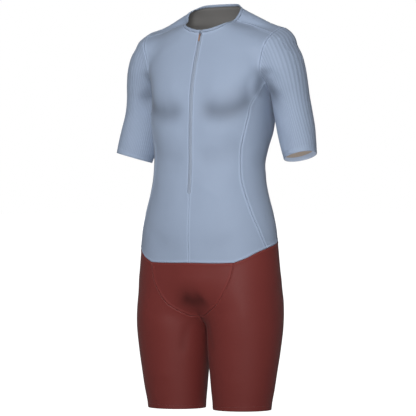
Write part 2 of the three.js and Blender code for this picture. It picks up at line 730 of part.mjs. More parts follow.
function pullTab() {
  const { wide, bar, eye, eyeEnd, long, tip } = PULL;
  const half = wide / 2;
  const tab = outline([[-half, bar / 2], [-half, -eyeEnd - 1], [-tip / 2, -eyeEnd - 3],
    [-tip / 2, 1 - long], [1 - tip / 2, -long], [tip / 2 - 1, -long], [tip / 2, 1 - long],
    [tip / 2, -eyeEnd - 3], [half, -eyeEnd - 1], [half, bar / 2]]);
  tab.holes.push(outline([[-eye / 2, -bar / 2], [eye / 2, -bar / 2], [eye / 2, -eyeEnd],
    [-eye / 2, -eyeEnd]]));
  const geometry = new THREE.ExtrudeGeometry(tab, { depth: bar, bevelEnabled: false });
  return geometry.rotateX(Math.PI / 2).translate(0, bar / 2, 0);
}

// Colours and finishes
const finish = (color, roughness, metalness = 0) => (
  new THREE.MeshStandardMaterial({ color, roughness, metalness })
);
const bodyCloth = finish(0x9aa8bd, 0.72);
const ribCloth = finish(0x95a3b8, 0.8);
const legCloth = finish(0x68312e, 0.62);
const bindingCloth = finish(0x8f9db2, 0.7);
const zipCloth = finish(0x7f8da3, 0.75);
const hemCloth = finish(0x999fab, 0.7);
const sliderMetal = finish(0x8d99ab, 0.45, 0.6);
const pullLeather = finish(0x8a6f5c, 0.6);

const suit = new THREE.Group();

function add(name, geometry, material, parent = suit) {
  const mesh = new THREE.Mesh(geometry, material);
  mesh.name = name;
  parent.add(mesh);
  return mesh;
}

for (const [side, own] of [['left', (grid) => grid], ['right', mirroredGrid]]) {
  add(`front_${side}`, wall(sheet(own(frontGrid))), bodyCloth);
  add(`side_${side}`, wall(sheet(own(sideGrid))), bodyCloth);
  add(`sleeve_${side}`, sleeveWall(own(sleeveGrid)), ribCloth);
  const hemSamples = own(cuffHemGrid(sleeveGrid)).flat();
  const hem = welded(hemSamples, gridFaces(places(hemSamples), 2, sleeveRing.length, true));
  add(`cuff_hem_${side}`, wall(hem, WALL + LAYER_GAP, TAPE_THICK), hemCloth);
  add(`leg_${side}`, wall(sheet(own(legGrid), true)), legCloth);
}
add('back', wall(sheet(acrossMiddle(mirroredGrid(backGrid)))), bodyCloth);
add('gusset', wall(sheet(acrossMiddle(gussetGrid))), legCloth);
add('neck_binding', neckBinding(), bindingCloth);
add('zip_tape', zipTape(), zipCloth);

// The slider stands at the top of the zip, leaning with the chest
const [zipStart, zipNext] = frontMiddle;
const downZip = zipNext.at.clone().sub(zipStart.at).normalize();
const slider = new THREE.Group();
slider.position.copy(zipStart.at).addScaledVector(downZip, SLIDER_DROP).setX(0);
slider.rotation.x = Math.atan2(downZip.y, -downZip.z);
suit.add(slider);
add('zip_slider', sliderBody(), sliderMetal, slider);
const pull = add('zip_pull', pullTab(), pullLeather, slider);
pull.position.y = -SLIDER.lift - SLIDER.thick - BRIDGE.inside / 2;

export default suit;
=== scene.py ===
"""Looks of a short-sleeved triathlon suit, filled out as if worn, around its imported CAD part."""

import json
import logging
import math
from collections.abc import Callable, Sequence
from dataclasses import dataclass, field
from enum import Enum

import bmesh
import bpy
import numpy as np
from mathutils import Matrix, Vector

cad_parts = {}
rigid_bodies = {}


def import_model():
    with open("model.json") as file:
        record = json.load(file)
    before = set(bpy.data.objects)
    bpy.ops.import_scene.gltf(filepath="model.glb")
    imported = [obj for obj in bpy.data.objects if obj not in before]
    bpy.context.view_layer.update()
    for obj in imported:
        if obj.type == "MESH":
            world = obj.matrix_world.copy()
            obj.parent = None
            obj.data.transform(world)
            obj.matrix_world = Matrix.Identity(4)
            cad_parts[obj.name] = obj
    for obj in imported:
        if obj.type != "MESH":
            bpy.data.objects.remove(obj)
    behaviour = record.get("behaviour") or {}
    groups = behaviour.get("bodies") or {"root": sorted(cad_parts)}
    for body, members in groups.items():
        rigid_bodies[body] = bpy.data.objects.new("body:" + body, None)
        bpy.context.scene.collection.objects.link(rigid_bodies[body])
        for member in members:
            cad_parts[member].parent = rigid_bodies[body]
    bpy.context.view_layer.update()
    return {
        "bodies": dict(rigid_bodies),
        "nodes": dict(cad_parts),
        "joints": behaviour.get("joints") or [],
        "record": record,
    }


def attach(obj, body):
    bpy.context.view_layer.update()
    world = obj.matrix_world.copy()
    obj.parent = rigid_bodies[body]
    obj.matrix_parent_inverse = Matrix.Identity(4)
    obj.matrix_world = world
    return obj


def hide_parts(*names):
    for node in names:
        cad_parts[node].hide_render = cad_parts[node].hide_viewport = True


Array = np.ndarray
Form = Callable[[Array], Array]
Colour = tuple[float, float, float]
log = logging.getLogger("suit")

METRES = 0.001
TURN = 2 * math.pi
MIRROR = np.array([-1.0, 1.0, 1.0])

# Levels and openings of the suit, in millimetres as in the rest of the form
WAIST_Z = -622.0
ZIP_END_Z = -453.0
CROTCH_Z = -757.0
HEM_Z = -982.0
ZIP_EDGE = 4.4

TRUNK_ROWS = (
    # z, half, middle, front, back, square
    (110, 50, 33, 78, 46, 2.0),
    (40, 54, 42, 87, 42, 2.0),
    (12, 56, 46, 91, 42, 2.0),
    (0, 58, 50, 95, 45, 2.0),
    (-12, 63, 54, 99, 48, 2.0),
    (-25, 70, 57, 102, 50, 2.0),
    (-33, 78, 58, 103, 53, 2.0),
    (-41, 104, 58, 103, 56, 2.0),
    (-48, 126, 56, 102, 61, 2.0),
    (-56, 145, 53, 100, 67, 2.1),
    (-75, 159, 42, 95, 86, 2.4),
    (-110, 160, 30, 97, 106, 2.8),
    (-150, 160, 24, 107, 115, 2.9),
    (-200, 150, 20, 117, 120, 2.8),
    (-245, 151, 20, 121, 118, 2.8),
    (-298, 150, 20, 124, 111, 2.5),
    (-342, 144, 10, 114, 104, 2.3),
    (-381, 142, 1, 105, 97, 2.2),
    (-421, 146, 0, 108, 97, 2.1),
    (-460, 154, 0, 111, 98, 2.1),
    (-499, 165, 0, 113, 101, 2.1),
    (-539, 173, 0, 116, 104, 2.0),
    (-578, 177, -1, 114, 107, 2.0),
    (-622, 178, -2, 111, 110, 2.0),
    (-652, 177, -3, 108, 111, 2.0),
)
LEG_ROWS = (
    # z, side, middle, half, front, back, skew
    (-560, 84, 0, 70, 74, 92, 0),
    (-622, 88, 0, 79, 82, 100, 0),
    (-676, 92, 0, 88, 92, 110, 0),
    (-716, 95, 0, 92.5, 97, 111, 0),
    (-775, 97, -2, 93, 93, 104, 0),
    (-834, 95, -3, 90, 85, 94, 0),
    (-893, 93.5, -3, 83, 79, 83, 0),
    (-932, 92, -3, 78.5, 74, 78, 0),
    (-971, 90, -2, 73, 70, 72, 0),
    (-1010, 89, -2, 70, 67, 69, 0),
)
ARM_ROWS = (
    # along, side, middle, half, front, back, skew
    (0, 0.5, -1, 48, 68, 50.5, 0),
    (26, 8, 0, 50, 68, 51, 0),
    (60, 10, 1, 50, 65, 52, -0.03),
    (95, 9, 4, 48, 58, 51, -0.06),
    (128, 5, 8, 47.5, 52, 50, -0.08),
    (165, 1, 12, 48, 51, 50, -0.1),
    (209, 0, 9, 48, 50, 50, -0.12),
    (245, 0, 3, 45.5, 47.5, 47.5, -0.14),
    (272, 0, -1, 43, 45, 45, -0.15),
    (320, 0, -7, 41, 43, 43, -0.15),
)


def points(*rows: tuple[float, float, float]) -> Array:
    """Points as an array, a row for each."""
    return np.array(rows, float).reshape(-1, 3)


def unit(vectors: Array) -> Array:
    """Vectors of length one."""
    return vectors / np.maximum(np.linalg.norm(vectors, axis=-1, keepdims=True), 1e-9)


def ease(value: Array, start: float, end: float) -> Array:
    """A smooth step from 0 at start to 1 at end."""
    t = np.clip((value - start) / (end - start), 0.0, 1.0)
    return t * t * (3.0 - 2.0 * t)


def distance_along(line: Array) -> Array:
    """Distance from the first point, or row of points, measured along the line or columns."""
    steps = np.linalg.norm(np.diff(line, axis=0), axis=-1)
    return np.concatenate([np.zeros_like(steps[:1]), np.cumsum(steps, axis=0)])


def read_along(where: Array, reach: Array, values: Array) -> Array:
    """Values at distances along a line, from those of its points at their own distances."""
    return np.stack([np.interp(where, reach, values[:, k]) for k in range(3)], axis=-1)


def soft_union(first: Array, second: Array, width: Array | float) -> Array:
    """The nearer of two distances, rounded over a width where they meet."""
    near = np.maximum(width - np.abs(first - second), 0.0)
    return np.minimum(first, second) - near * near / (4.0 * np.maximum(width, 1e-6))


class Sections:
    """Smooth curves through the rows of a table, read by its first column."""

    def __init__(self, columns: tuple[str, ...], rows: tuple[tuple[float, ...], ...]) -> None:
        """Sorts the rows and works out the slope of each curve at each row.

        Args:
            columns: Names of the columns after the first.
            rows: The table's rows.
        """
        data = np.array(sorted(rows), float)
        self.columns = columns
        self.keys, self.values = data[:, 0], data[:, 1:]
        order = np.arange(len(data))
        low, high = np.maximum(order - 1, 0), np.minimum(order + 1, len(data) - 1)
        rise = self.values[high] - self.values[low]
        self.slopes = rise / (self.keys[high] - self.keys[low])[:, None]

    def at(self, key: Array) -> dict[str, Array]:
        """Reads every column at the given keys.

        Args:
            key: Values of the first column.

        Returns:
            An array of the same shape for each column's name.
        """
        inside = np.clip(key, self.keys[0], self.keys[-1])
        row = np.minimum(np.searchsorted(self.keys[1:], inside), len(self.keys) - 2)
        step = (self.keys[row + 1] - self.keys[row])[..., None]
        t = (inside - self.keys[row])[..., None] / step
        end = t * t * (3.0 - 2.0 * t)
        read = self.values[row] * (1.0 - end) + self.values[row + 1] * end
        read = read + self.slopes[row] * t * (1.0 - t) ** 2 * step
        read = read + self.slopes[row + 1] * t * t * (t - 1.0) * step
        return {name: read[..., i] for i, name in enumerate(self.columns)}


@dataclass(frozen=True)
class Samples:
    """Points on the form with the direction out of the cloth at each."""

    at: Array
    out: Array

    def __getitem__(self, key: object) -> "Samples":
        """The samples that a numpy index picks."""
        return Samples(self.at[key], self.out[key])

    def sunk(self, depth: Array | float) -> Array:
        """The points moved in by a depth."""
        deep = np.asarray(depth, float)
        return self.at - self.out * (deep[..., None] if deep.ndim else deep)

    def mirrored(self) -> "Samples":
        """The same grid on the other half, with its columns turned round."""
        return Samples(self.at[:, ::-1] * MIRROR, self.out[:, ::-1] * MIRROR)


def joined(parts: list[Samples], axis: int = 0) -> Samples:
    """Samples set end to end along an axis."""
    ats, outs = [p.at for p in parts], [p.out for p in parts]
    return Samples(np.concatenate(ats, axis), np.concatenate(outs, axis))


@dataclass(frozen=True)
class Figure:
    """The general figure that the suit is cut for, as distances outside its surface."""

    trunk_table: Sections = Sections(("half", "middle", "front", "back", "square"), TRUNK_ROWS)
    leg_table: Sections = Sections(("side", "middle", "half", "front", "back", "skew"), LEG_ROWS)
    arm_table: Sections = Sections(("side", "middle", "half", "front", "back", "skew"), ARM_ROWS)
    trunk_cap: float = 112.0
    leg_cap: float = 70.0
    arm_cap: float = 40.0
    arm_root: tuple[float, float, float] = (164.0, 36.0, -100.0)
    arm_lean: float = math.radians(14.0)
    yoke_start: tuple[float, float, float] = (67.0, 46.5, -28.5)
    yoke_end: tuple[float, float, float] = (162.0, 54.0, -80.5)
    yoke_radii: tuple[float, float] = (27.5, 30.8)
    yoke_blend: float = 24.0
    yoke_reach: float = -170.0
    leg_blend: float = 34.0
    arm_blends: tuple[float, float] = (2.0, 36.0)
    arm_blend_levels: tuple[float, float] = (-205.0, -150.0)
    parting_reach: float = 80.0
    parting_levels: tuple[float, float] = (206.0, 216.0)

    @staticmethod
    def outside(across: Array, fore: Array, section: dict[str, Array], past: Array, cap: float) -> Array:
        """Distance outside a section that a rounded cap closes.

        Args:
            across: Place across the section, from its middle.
            fore: Place from front to back, from its middle.
            section: The section's half width and reaches.
            past: How far the point lies past the section's end.
            cap: Height of the cap.

        Returns:
            The distance, below 0 inside.
        """
        u = across / section["half"]
        w = fore / np.where(fore < 0, section["front"], section["back"])
        if "square" in section:
            power = section["square"]
            ring = (np.abs(u) ** power + np.abs(w) ** power) ** (1.0 / power)
        else:
            skew = section["skew"]
            ring = np.sqrt(np.maximum(u * u + w * w - 2.0 * skew * u * w, 0.0) / (1.0 - skew * skew))
        over = np.maximum(past, 0.0) / cap
        reach = np.sqrt(across**2 + fore**2 + (over * cap) ** 2)
        return reach * (1.0 - 1.0 / np.maximum(np.hypot(ring, over), 1e-3))

    def trunk(self, p: Array) -> Array:
        """Distance outside the trunk and its shoulders.

        Args:
            p: Points, in millimetres.

        Returns:
            The distance of each, below 0 inside.
        """
        section = self.trunk_table.at(p[..., 2])
        past = self.trunk_table.keys[0] - p[..., 2]
        barrel = self.outside(p[..., 0], p[..., 1] - section["middle"], section, past, self.trunk_cap)
        ridged = soft_union(barrel, self.yoke(p), self.yoke_blend)
        return np.where(p[..., 2] < self.yoke_reach, barrel, ridged)

    def yoke(self, p: Array) -> Array:
        """Distance outside the shoulder's ridge.

        Args:
            p: Points, in millimetres.

        Returns:
            The distance of each, below 0 inside.
        """
        start, end = np.array(self.yoke_start), np.array(self.yoke_end)
        line = end - start
        offset = p * np.array([0.0, 1.0, 1.0]) + np.abs(p) * np.array([1.0, 0.0, 0.0]) - start
        t = np.clip(offset @ line / (line @ line), 0.0, 1.0)
        radius = self.yoke_radii[0] + (self.yoke_radii[1] - self.yoke_radii[0]) * t
        return np.linalg.norm(offset - t[..., None] * line, axis=-1) - radius

    def leg(self, p: Array) -> Array:
        """Distance outside the leg on the point's own side.

        Args:
            p: Points, in millimetres.

        Returns:
            The distance of each, below 0 inside.
        """
        section = self.leg_table.at(p[..., 2])
        across = np.abs(p[..., 0]) - section["side"]
        past = p[..., 2] - self.leg_table.keys[-1]
        return self.outside(across, p[..., 1] - section["middle"], section, past, self.leg_cap)

    def arm_frame(self, p: Array) -> tuple[Array, Array, Array]:
        """A point's place along the arm, across it and towards the back.

        Args:
            p: Points, in millimetres.

        Returns:
            The three places of each point.
        """
        x, z = np.abs(p[..., 0]) - self.arm_root[0], p[..., 2] - self.arm_root[2]
        sin, cos = math.sin(self.arm_lean), math.cos(self.arm_lean)
        return x * sin - z * cos, x * cos + z * sin, p[..., 1] - self.arm_root[1]

    def from_arm_frame(self, along: float, side: Array, fore: Array) -> Array:
        """Points from their place along and across the arm.

        Args:
            along: Place along the arm.
            side: Places across it.
            fore: Places towards the back.

        Returns:
            The points.
        """
        sin, cos = math.sin(self.arm_lean), math.cos(self.arm_lean)
        x = self.arm_root[0] + along * sin + side * cos
        z = self.arm_root[2] - along * cos + side * sin
        return np.stack([x, self.arm_root[1] + fore, z], axis=-1)

    def arm(self, p: Array) -> Array:
        """Distance outside the arm.

        Args:
            p: Points, in millimetres.

        Returns:
            The distance of each, below 0 inside.
        """
        along, side, fore = self.arm_frame(p)
        section = self.arm_table.at(along)
        return self.outside(side - section["side"], fore - section["middle"], section, -along, self.arm_cap)

    def arm_blend(self, z: Array) -> Array:
        """How softly the arm runs into the trunk at a level."""
        low, high = self.arm_blends
        return low + (high - low) * ease(z, *self.arm_blend_levels)

    def parting(self, z: Array) -> Array:
        """How far sleeve and side push each other away below the armpit."""
        return self.parting_reach * ease(-z, *self.parting_levels)

    def body(self, p: Array) -> Array:
        """The form that the panels and legs follow.

        Args:
            p: Points, in millimetres.

        Returns:
            The distance of each, below 0 inside.
        """
        z = p[..., 2]
        upper = soft_union(self.trunk(p), self.arm(p) + self.parting(z), self.arm_blend(z))
        above = z > self.leg_table.keys[-1] + self.leg_cap
        return np.where(above, upper, soft_union(upper, self.leg(p), self.leg_blend))

    def sleeve(self, p: Array) -> Array:
        """The form that the sleeve follows."""
        z = p[..., 2]
        return soft_union(self.trunk(p) + self.parting(z), self.arm(p), self.arm_blend(z))


SLOPE_STEP = 0.4
LEAST_SLOPE = 0.05
LONGEST_MOVE = 25.0
CREASE_ROUNDS = 12
LINE_STEPS = 60


def slope_of(form: Form, p: Array) -> Array:
    """The form's gradient at points, from small steps each way."""
    ways = np.eye(3) * SLOPE_STEP
    return np.stack([(form(p + way) - form(p - way)) / (2.0 * SLOPE_STEP) for way in ways], axis=-1)


def settle(form: Form, start: Array, rounds: int = 5) -> Samples:
    """Moves points onto the form.

    Args:
        form: Distance outside the form.
        start: The points to move.
        rounds: Number of steps towards it.

    Returns:
        The points on the form, with the direction out of it.
    """
    at = np.array(start, float)
    for _ in range(rounds):
        slope = slope_of(form, at)
        move = form(at) / np.maximum((slope**2).sum(-1), LEAST_SLOPE)
        at = at - slope * np.clip(move, -LONGEST_MOVE, LONGEST_MOVE)[..., None]
    return Samples(at, unit(slope_of(form, at)))


def settle_in_crease(figure: Figure, start: Array) -> Samples:
    """Moves points into the crease where the arm leaves the trunk.

    Args:
        figure: The figure.
        start: The points to move.

    Returns:
        The points in the crease, with the direction out between its two sides.
    """
    at = np.array(start, float)

    def grown(form: Form) -> Form:
        """A form grown to where the soft union meets it."""
        return lambda p: form(p) - figure.arm_blend(p[..., 2]) / 4.0

    trunk, arm = grown(figure.trunk), grown(figure.arm)
    for _ in range(CREASE_ROUNDS):
        a, b = slope_of(trunk, at), slope_of(arm, at)
        off_a, off_b = trunk(at), arm(at)
        aa, bb, ab = (a * a).sum(-1), (b * b).sum(-1), (a * b).sum(-1)
        scale = np.maximum(aa * bb - ab * ab, 1e-3)
        on_a = (bb * off_a - ab * off_b) / scale
        on_b = (aa * off_b - ab * off_a) / scale
        at = at - a * on_a[..., None] - b * on_b[..., None]
    out = unit(slope_of(figure.trunk, at)) + unit(slope_of(figure.arm, at))
    return Samples(at, unit(out))


def smooth_line(through: Array, segments: int) -> Array:
    """Even steps along a smooth line.

    Args:
        through: The points that the line passes.
        segments: Number of steps.

    Returns:
        segments + 1 points, ends included.
    """
    p = np.vstack([2 * through[0] - through[1], through, 2 * through[-1] - through[-2]])
    knots = np.concatenate([[0.0], np.cumsum(np.linalg.norm(np.diff(p, axis=0), axis=1) ** 0.5)])
    dense = []
    for i in range(1, len(p) - 2):
        t = np.linspace(knots[i], knots[i + 1], LINE_STEPS, endpoint=i == len(p) - 3)[:, None]
        t0, t1, t2, t3 = knots[i - 1 : i + 3]
        a1 = (t1 - t) / (t1 - t0) * p[i - 1] + (t - t0) / (t1 - t0) * p[i]
        a2 = (t2 - t) / (t2 - t1) * p[i] + (t - t1) / (t2 - t1) * p[i + 1]
        a3 = (t3 - t) / (t3 - t2) * p[i + 1] + (t - t2) / (t3 - t2) * p[i + 2]
        b1 = (t2 - t) / (t2 - t0) * a1 + (t - t0) / (t2 - t0) * a2
        b2 = (t3 - t) / (t3 - t1) * a2 + (t - t1) / (t3 - t1) * a3
        dense.append((t2 - t) / (t2 - t1) * b1 + (t - t1) / (t2 - t1) * b2)
    line = np.vstack(dense)
    reach = distance_along(line)
    return read_along(np.linspace(0.0, reach[-1], segments + 1), reach, line)


@dataclass(frozen=True)
class Seam:
    """A seam: a smooth line on the form between two pattern points."""

    start: Samples
    through: Array
    end: Samples
    segments: int
    place: Callable[[Array], Samples]

    def samples(self, fineness: int) -> Samples:
        """The seam's samples, with each coarse segment parted by fineness.

        Args:
            fineness: Parts for each coarse segment.

        Returns:
            The samples, both ends included.
        """
        line = np.vstack([self.start.at, self.through, self.end.at])
        inner = self.place(smooth_line(line, self.segments * fineness)[1:-1])
        return joined([self.start, inner, self.end])


def chained(parts: list[Samples]) -> Samples:
    """Lines of samples that share their ends, as one line."""
    return joined([parts[0], *[part[1:] for part in parts[1:]]])


def backwards(line: Samples) -> Samples:
    """The same line from its other end."""
    return line[::-1]


class Pattern:
    """The suit's pattern: its corner points and seams on the wearer's left half."""

    def __init__(self, figure: Figure) -> None:
        """Places the pattern's points and seams on the figure.

        Args:
            figure: The figure that the suit is cut for.
        """
        self.figure = figure
        crease = self.in_crease
        zip_top, zip_end = self.on_body(ZIP_EDGE, -49, -59.5), self.on_body(ZIP_EDGE, -111, ZIP_END_Z)
        below_zip = self.on_body(0, -112, ZIP_END_Z - 4)
        neck_shoulder, neck_back = self.on_body(69, 9, -31), self.on_body(0, 88, 12)
        shoulder_tip = self.on_body(172, -2, -75)
        pit_front, pit_back = crease(points((154, -6, -184))), crease(points((149, 56, -198)))
        waist_middle, waist_corner = self.on_body(0, -113, WAIST_Z), self.on_body(109, -86, WAIST_Z)
        waist_front_side, waist_back_side = self.on_body(171, -34, -587), self.on_body(138, 78, -556)
        waist_back, crotch_front = self.on_body(0, 112, -545), self.on_body(0, -62, CROTCH_Z)
        self.crotch_front = crotch_front
        run = self.seam
        self.zip_line = run(zip_top, zip_end, 16,
            (ZIP_EDGE, -62, -98), (ZIP_EDGE, -83, -150), (ZIP_EDGE, -94, -190), (ZIP_EDGE, -100, -236),
            (ZIP_EDGE, -104, -298), (ZIP_EDGE, -104, -371))
        self.front_middle = run(below_zip, waist_middle, 7, (0, -116, -544))
        self.neck_front = run(zip_top, neck_shoulder, 6,
            (18, -47, -58.5), (41, -37, -53), (54, -27, -47), (64, -9, -39.5))
        self.neck_back = run(neck_shoulder, neck_back, 4,
            (73, 24, -18), (71.5, 39, -5), (66, 52, 3.5), (54, 65, 8.5), (28, 83, 11.5))
        self.shoulder = run(neck_shoulder, shoulder_tip, 4,
            (100, 15, -41), (133, 12, -55), (157, 5, -65))
        self.arm_front = run(pit_front, shoulder_tip, 7,
            (154, -34, -162), (155, -39, -145), (160, -39, -112), (167, -28, -88))
        self.arm_back = run(shoulder_tip, pit_back, 11,
            (176, 40, -55), (174, 62, -60), (165, 90, -88), (153, 89, -129), (149.5, 79, -167))
        self.underarm = Seam(pit_back, points((150, 42, -207), (150.6, 20, -200)), pit_front, 5, crease)
        self.princess = run(pit_front, waist_front_side, 17,
            (146, -27, -211), (140, -47, -236), (133, -56, -269), (125, -61, -309), (119, -63, -341),
            (117, -64, -380), (120, -65, -422), (132, -62, -466), (147, -57, -510), (161, -48, -547))
        self.back_side = run(pit_back, waist_back_side, 17,
            (140, 85, -235), (130, 95, -290), (119, 79, -340), (113, 68, -397), (120, 68, -450),
            (132, 72, -508))
        self.waist_front_middle = run(waist_middle, waist_corner, 5, (60, -109, WAIST_Z - 1))
        self.waist_front = run(waist_corner, waist_front_side, 5, (136, -77, -611), (156, -60, -598))
        self.waist_side = run(waist_front_side, waist_back_side, 5, (177, 5, -577), (167, 46, -566))
        self.waist_back = run(waist_back_side, waist_back, 8, (100, 98, -550), (50, 109, -546))
        self.gusset_edge = run(crotch_front, waist_corner, 8,
            (15, -68, -754), (40, -84, -741), (70, -94, -720), (90, -96, -690), (105, -92, -655))
        self.crotch = run(waist_back, crotch_front, 9,
            (0, 112, -600), (0, 108, -660), (0, 92, -715), (0, 50, -762), (0, 0, -775), (0, -40, -768))
        self.back_middle = run(neck_back, waist_back, 28,
            (0, 112, -50), (0, 130, -120), (0, 139, -200), (0, 134, -280), (0, 108, -360), (0, 97, -400),
            (0, 100, -470))
        self.gusset_middle = run(waist_middle, crotch_front, 8, (0, -104, -680))

    def on_body(self, x: float, y: float, z: float) -> Samples:
        """One pattern point, settled on the body's form."""
        return settle(self.figure.body, points((x, y, z)))

    def in_crease(self, start: Array) -> Samples:
        """Points settled in the armpit's crease."""
        return settle_in_crease(self.figure, start)

    def seam(self, start: Samples, end: Samples, segments: int, *through: tuple[float, ...]) -> Seam:
        """A seam settled on the body's form."""
        return Seam(start, points(*through), end, segments, lambda p: settle(self.figure.body, p))


def coons(top: Array, bottom: Array, left: Array, right: Array) -> Array:
    """A grid that fills four edges evenly.

    Args:
        top: Points of the first row.
        bottom: Points of the last row.
        left: Points of the first column.
        right: Points of the last column.

    Returns:
        The grid, rows by columns.
    """
    u = np.linspace(0.0, 1.0, len(top))[None, :, None]
    v = np.linspace(0.0, 1.0, len(left))[:, None, None]
    sides = (1 - v) * top[None] + v * bottom[None] + (1 - u) * left[:, None] + u * right[:, None]
    top_ends, bottom_ends = (1 - u) * top[0] + u * top[-1], (1 - u) * bottom[0] + u * bottom[-1]
    ends = (1 - v) * top_ends + v * bottom_ends
    return sides - ends


def refined(grid: Array, fineness: int, axis: int, closed: bool = False) -> Array:
    """A grid with each cell parted smoothly along one axis.

    Args:
        grid: Points, rows by columns.
        fineness: Parts for each cell.
        axis: The axis to part.
        closed: Whether the grid runs round and joins itself.

    Returns:
        The finer grid, passing through the same points.
    """
    g = np.moveaxis(grid, axis, 0)
    if closed:
        padded = np.concatenate([g[-1:], g, g[:2]])
    else:
        padded = np.concatenate([2 * g[:1] - g[1:2], g, 2 * g[-1:] - g[-2:-1]])
    t = (np.arange(fineness) / fineness)[None, :, None, None]
    a, b, c, d = (padded[k : len(padded) - 3 + k][:, None] for k in range(4))
    bend, twist = 2 * a - 5 * b + 4 * c - d, 3 * b - a - 3 * c + d
    fine = 0.5 * (2 * b + (c - a) * t + bend * t**2 + twist * t**3)
    fine = fine.reshape(-1, *g.shape[1:])
    if not closed:
        fine = np.concatenate([fine, g[-1:]])
    return np.moveaxis(fine, 0, axis)


def evened(form: Form, grid: Array, closed: bool, rounds: int = 5) -> Array:
    """Evens out a grid on the form, with its edges held.

    Args:
        form: The form that it follows.
        grid: Points, rows by columns.
        closed: Whether it joins itself round its columns.
        rounds: Number of passes.

    Returns:
        The evened points.
    """
    at = grid.copy()
    for _ in range(rounds):
        if closed:
            across = np.roll(at, 1, 1)[1:-1] + np.roll(at, -1, 1)[1:-1]
            at[1:-1] = settle(form, (across + at[:-2] + at[2:]) / 4.0, 3).at
        else:
            mean = (at[:-2, 1:-1] + at[2:, 1:-1] + at[1:-1, :-2] + at[1:-1, 2:]) / 4.0
            at[1:-1, 1:-1] = settle(form, mean, 3).at
    return at


def with_edges(grid: Samples, top: Samples, bottom: Samples, left: Samples, right: Samples) -> Samples:
    """A grid with its four edges set to shared seam samples.

    Args:
        grid: The grid.
        top: Samples of its first row.
        bottom: Samples of its last row.
        left: Samples of its first column.
        right: Samples of its last column.

    Returns:
        The grid with those edges.
    """
    at, out = grid.at.copy(), grid.out.copy()
    at[:, 0], out[:, 0] = left.at, left.out
    at[:, -1], out[:, -1] = right.at, right.out
    at[0], out[0] = top.at, top.out
    at[-1], out[-1] = bottom.at, bottom.out
    return Samples(at, out)


def fine_panel(form: Form, edges: Callable[[int], tuple[Samples, ...]], fineness: int) -> Samples:
    """A four-sided panel drawn on the form between its seams.

    Args:
        form: The form that it follows.
        edges: Gives top, bottom, left and right at a fineness.
        fineness: Parts for each coarse cell.

    Returns:
        A grid of samples, rows by columns.
    """
    top, bottom, left, right = edges(1)
    coarse = settle(form, coons(top.at, bottom.at, left.at, right.at)).at
    coarse = with_edges(Samples(coarse, coarse), top, bottom, left, right).at
    grid = refined(refined(evened(form, coarse, False), fineness, 0), fineness, 1)
    fine = edges(fineness)
    off = [line.at - edge for line, edge in zip(fine, (grid[0], grid[-1], grid[:, 0], grid[:, -1]))]
    return with_edges(settle(form, grid + coons(*off), 3), *fine)


def fine_tube(form: Form, ring: Callable[[int], Samples], edge: Array, plane: "Plane",
              rows: int, fineness: tuple[int, int]) -> Samples:
    """A tube of cloth from a closed seam to an open edge.

    Args:
        form: The form that it follows.
        ring: Gives the closed seam at a fineness, its last sample left out.
        edge: The open edge's coarse points.
        plane: The plane that the open edge lies in.
        rows: Coarse rows along the tube.
        fineness: Parts for each coarse row and column.

    Returns:
        A grid of samples that joins itself round its columns.
    """
    start = ring(1)
    down = np.linspace(0.0, 1.0, rows + 1)[:, None, None]
    coarse = settle(form, start.at[None] * (1 - down) + edge[None] * down).at
    coarse[0], coarse[-1] = start.at, edge
    coarse = evened(form, coarse, True)
    grid = refined(refined(coarse, fineness[0], 0), fineness[1], 1, closed=True)
    fine_ring = ring(fineness[1])
    down = np.linspace(0.0, 1.0, len(grid))[:, None, None]
    rim = plane.ring(form, grid[-1])
    grid = grid + (1 - down) * (fine_ring.at - grid[0])[None] + down * (rim.at - grid[-1])[None]
    made = settle(form, grid, 3)
    at, out = made.at, made.out
    at[0], out[0], at[-1], out[-1] = fine_ring.at, fine_ring.out, rim.at, rim.out
    return Samples(at, out)


@dataclass(frozen=True)
class Plane:
    """The plane of an open edge."""

    normal: Array
    middle: Array

    def onto(self, p: Array) -> Array:
        """Points moved straight onto the plane."""
        return p - ((p - self.middle) @ self.normal)[..., None] * self.normal

    def ring(self, form: Form, start: Array) -> Samples:
        """Points settled on the form and in the plane at once.

        Args:
            form: Distance outside the form.
            start: The points to move.

        Returns:
            The points in the plane, with the direction out of the form.
        """
        made = Samples(start, start)
        for _ in range(4):
            made = settle(form, self.onto(made.at), 3)
        return Samples(self.onto(made.at), made.out)


def open_edge(form: Form, plane: Plane, bearings: Array, start: Callable[[Array], Array]) -> Array:
    """The coarse points of an open edge, each near the bearing of its own column.

    Args:
        form: The form that the edge lies on.
        plane: The plane that it lies in.
        bearings: Bearing of each column's first point round the tube.
        start: Gives points near the edge at bearings.

    Returns:
        A point for each column.
    """
    even = bearings[0] + TURN * np.arange(len(bearings)) / len(bearings)
    off = np.mod(bearings - even + math.pi, TURN) - math.pi
    return plane.ring(form, start(even + off / 2)).at


class EdgeKind(Enum):
    """How one edge of a panel is finished."""

    SEAM = "seam"
    HEM = "hem"
    ZIP = "zip"


@dataclass(frozen=True)
class SeamProfile:
    """Section of the cloth next to a seam, in millimetres, with a painted highlight on its ridge and painted
    shade in its groove.
    """

    lines: tuple[float, ...] = (0.0, 0.7, 1.6, 2.6, 3.8, 5.4, 7.6)
    groove_depth: float = 0.6
    groove_width: float = 1.1
    ridge_height: float = 0.75
    ridge_at: float = 3.6
    ridge_width: float = 2.1
    # light and dark: strength of the painted highlight on the ridge and of the painted shade in the groove
    light: float = 0.75
    dark: float = 0.5

    def height(self, distance: Array) -> Array:
        """How far the cloth stands out at a distance from the seam."""
        return self.ridge_height * self.ridge(distance) - self.groove_depth * self.groove(distance)

    def tone(self, distance: Array) -> Array:
        """How much lighter or darker the cloth looks there: a painted highlight on the ridge and painted
        shade in the groove.
        """
        return self.light * self.ridge(distance) - self.dark * self.groove(distance)

    def groove(self, distance: Array) -> Array:
        """The dip at the seam, from 0 to 1."""
        return np.exp(-((distance / self.groove_width) ** 2))

    def ridge(self, distance: Array) -> Array:
        """The rise over the seam allowance, from 0 to 1."""
        return np.exp(-(((distance - self.ridge_at) / self.ridge_width) ** 2))


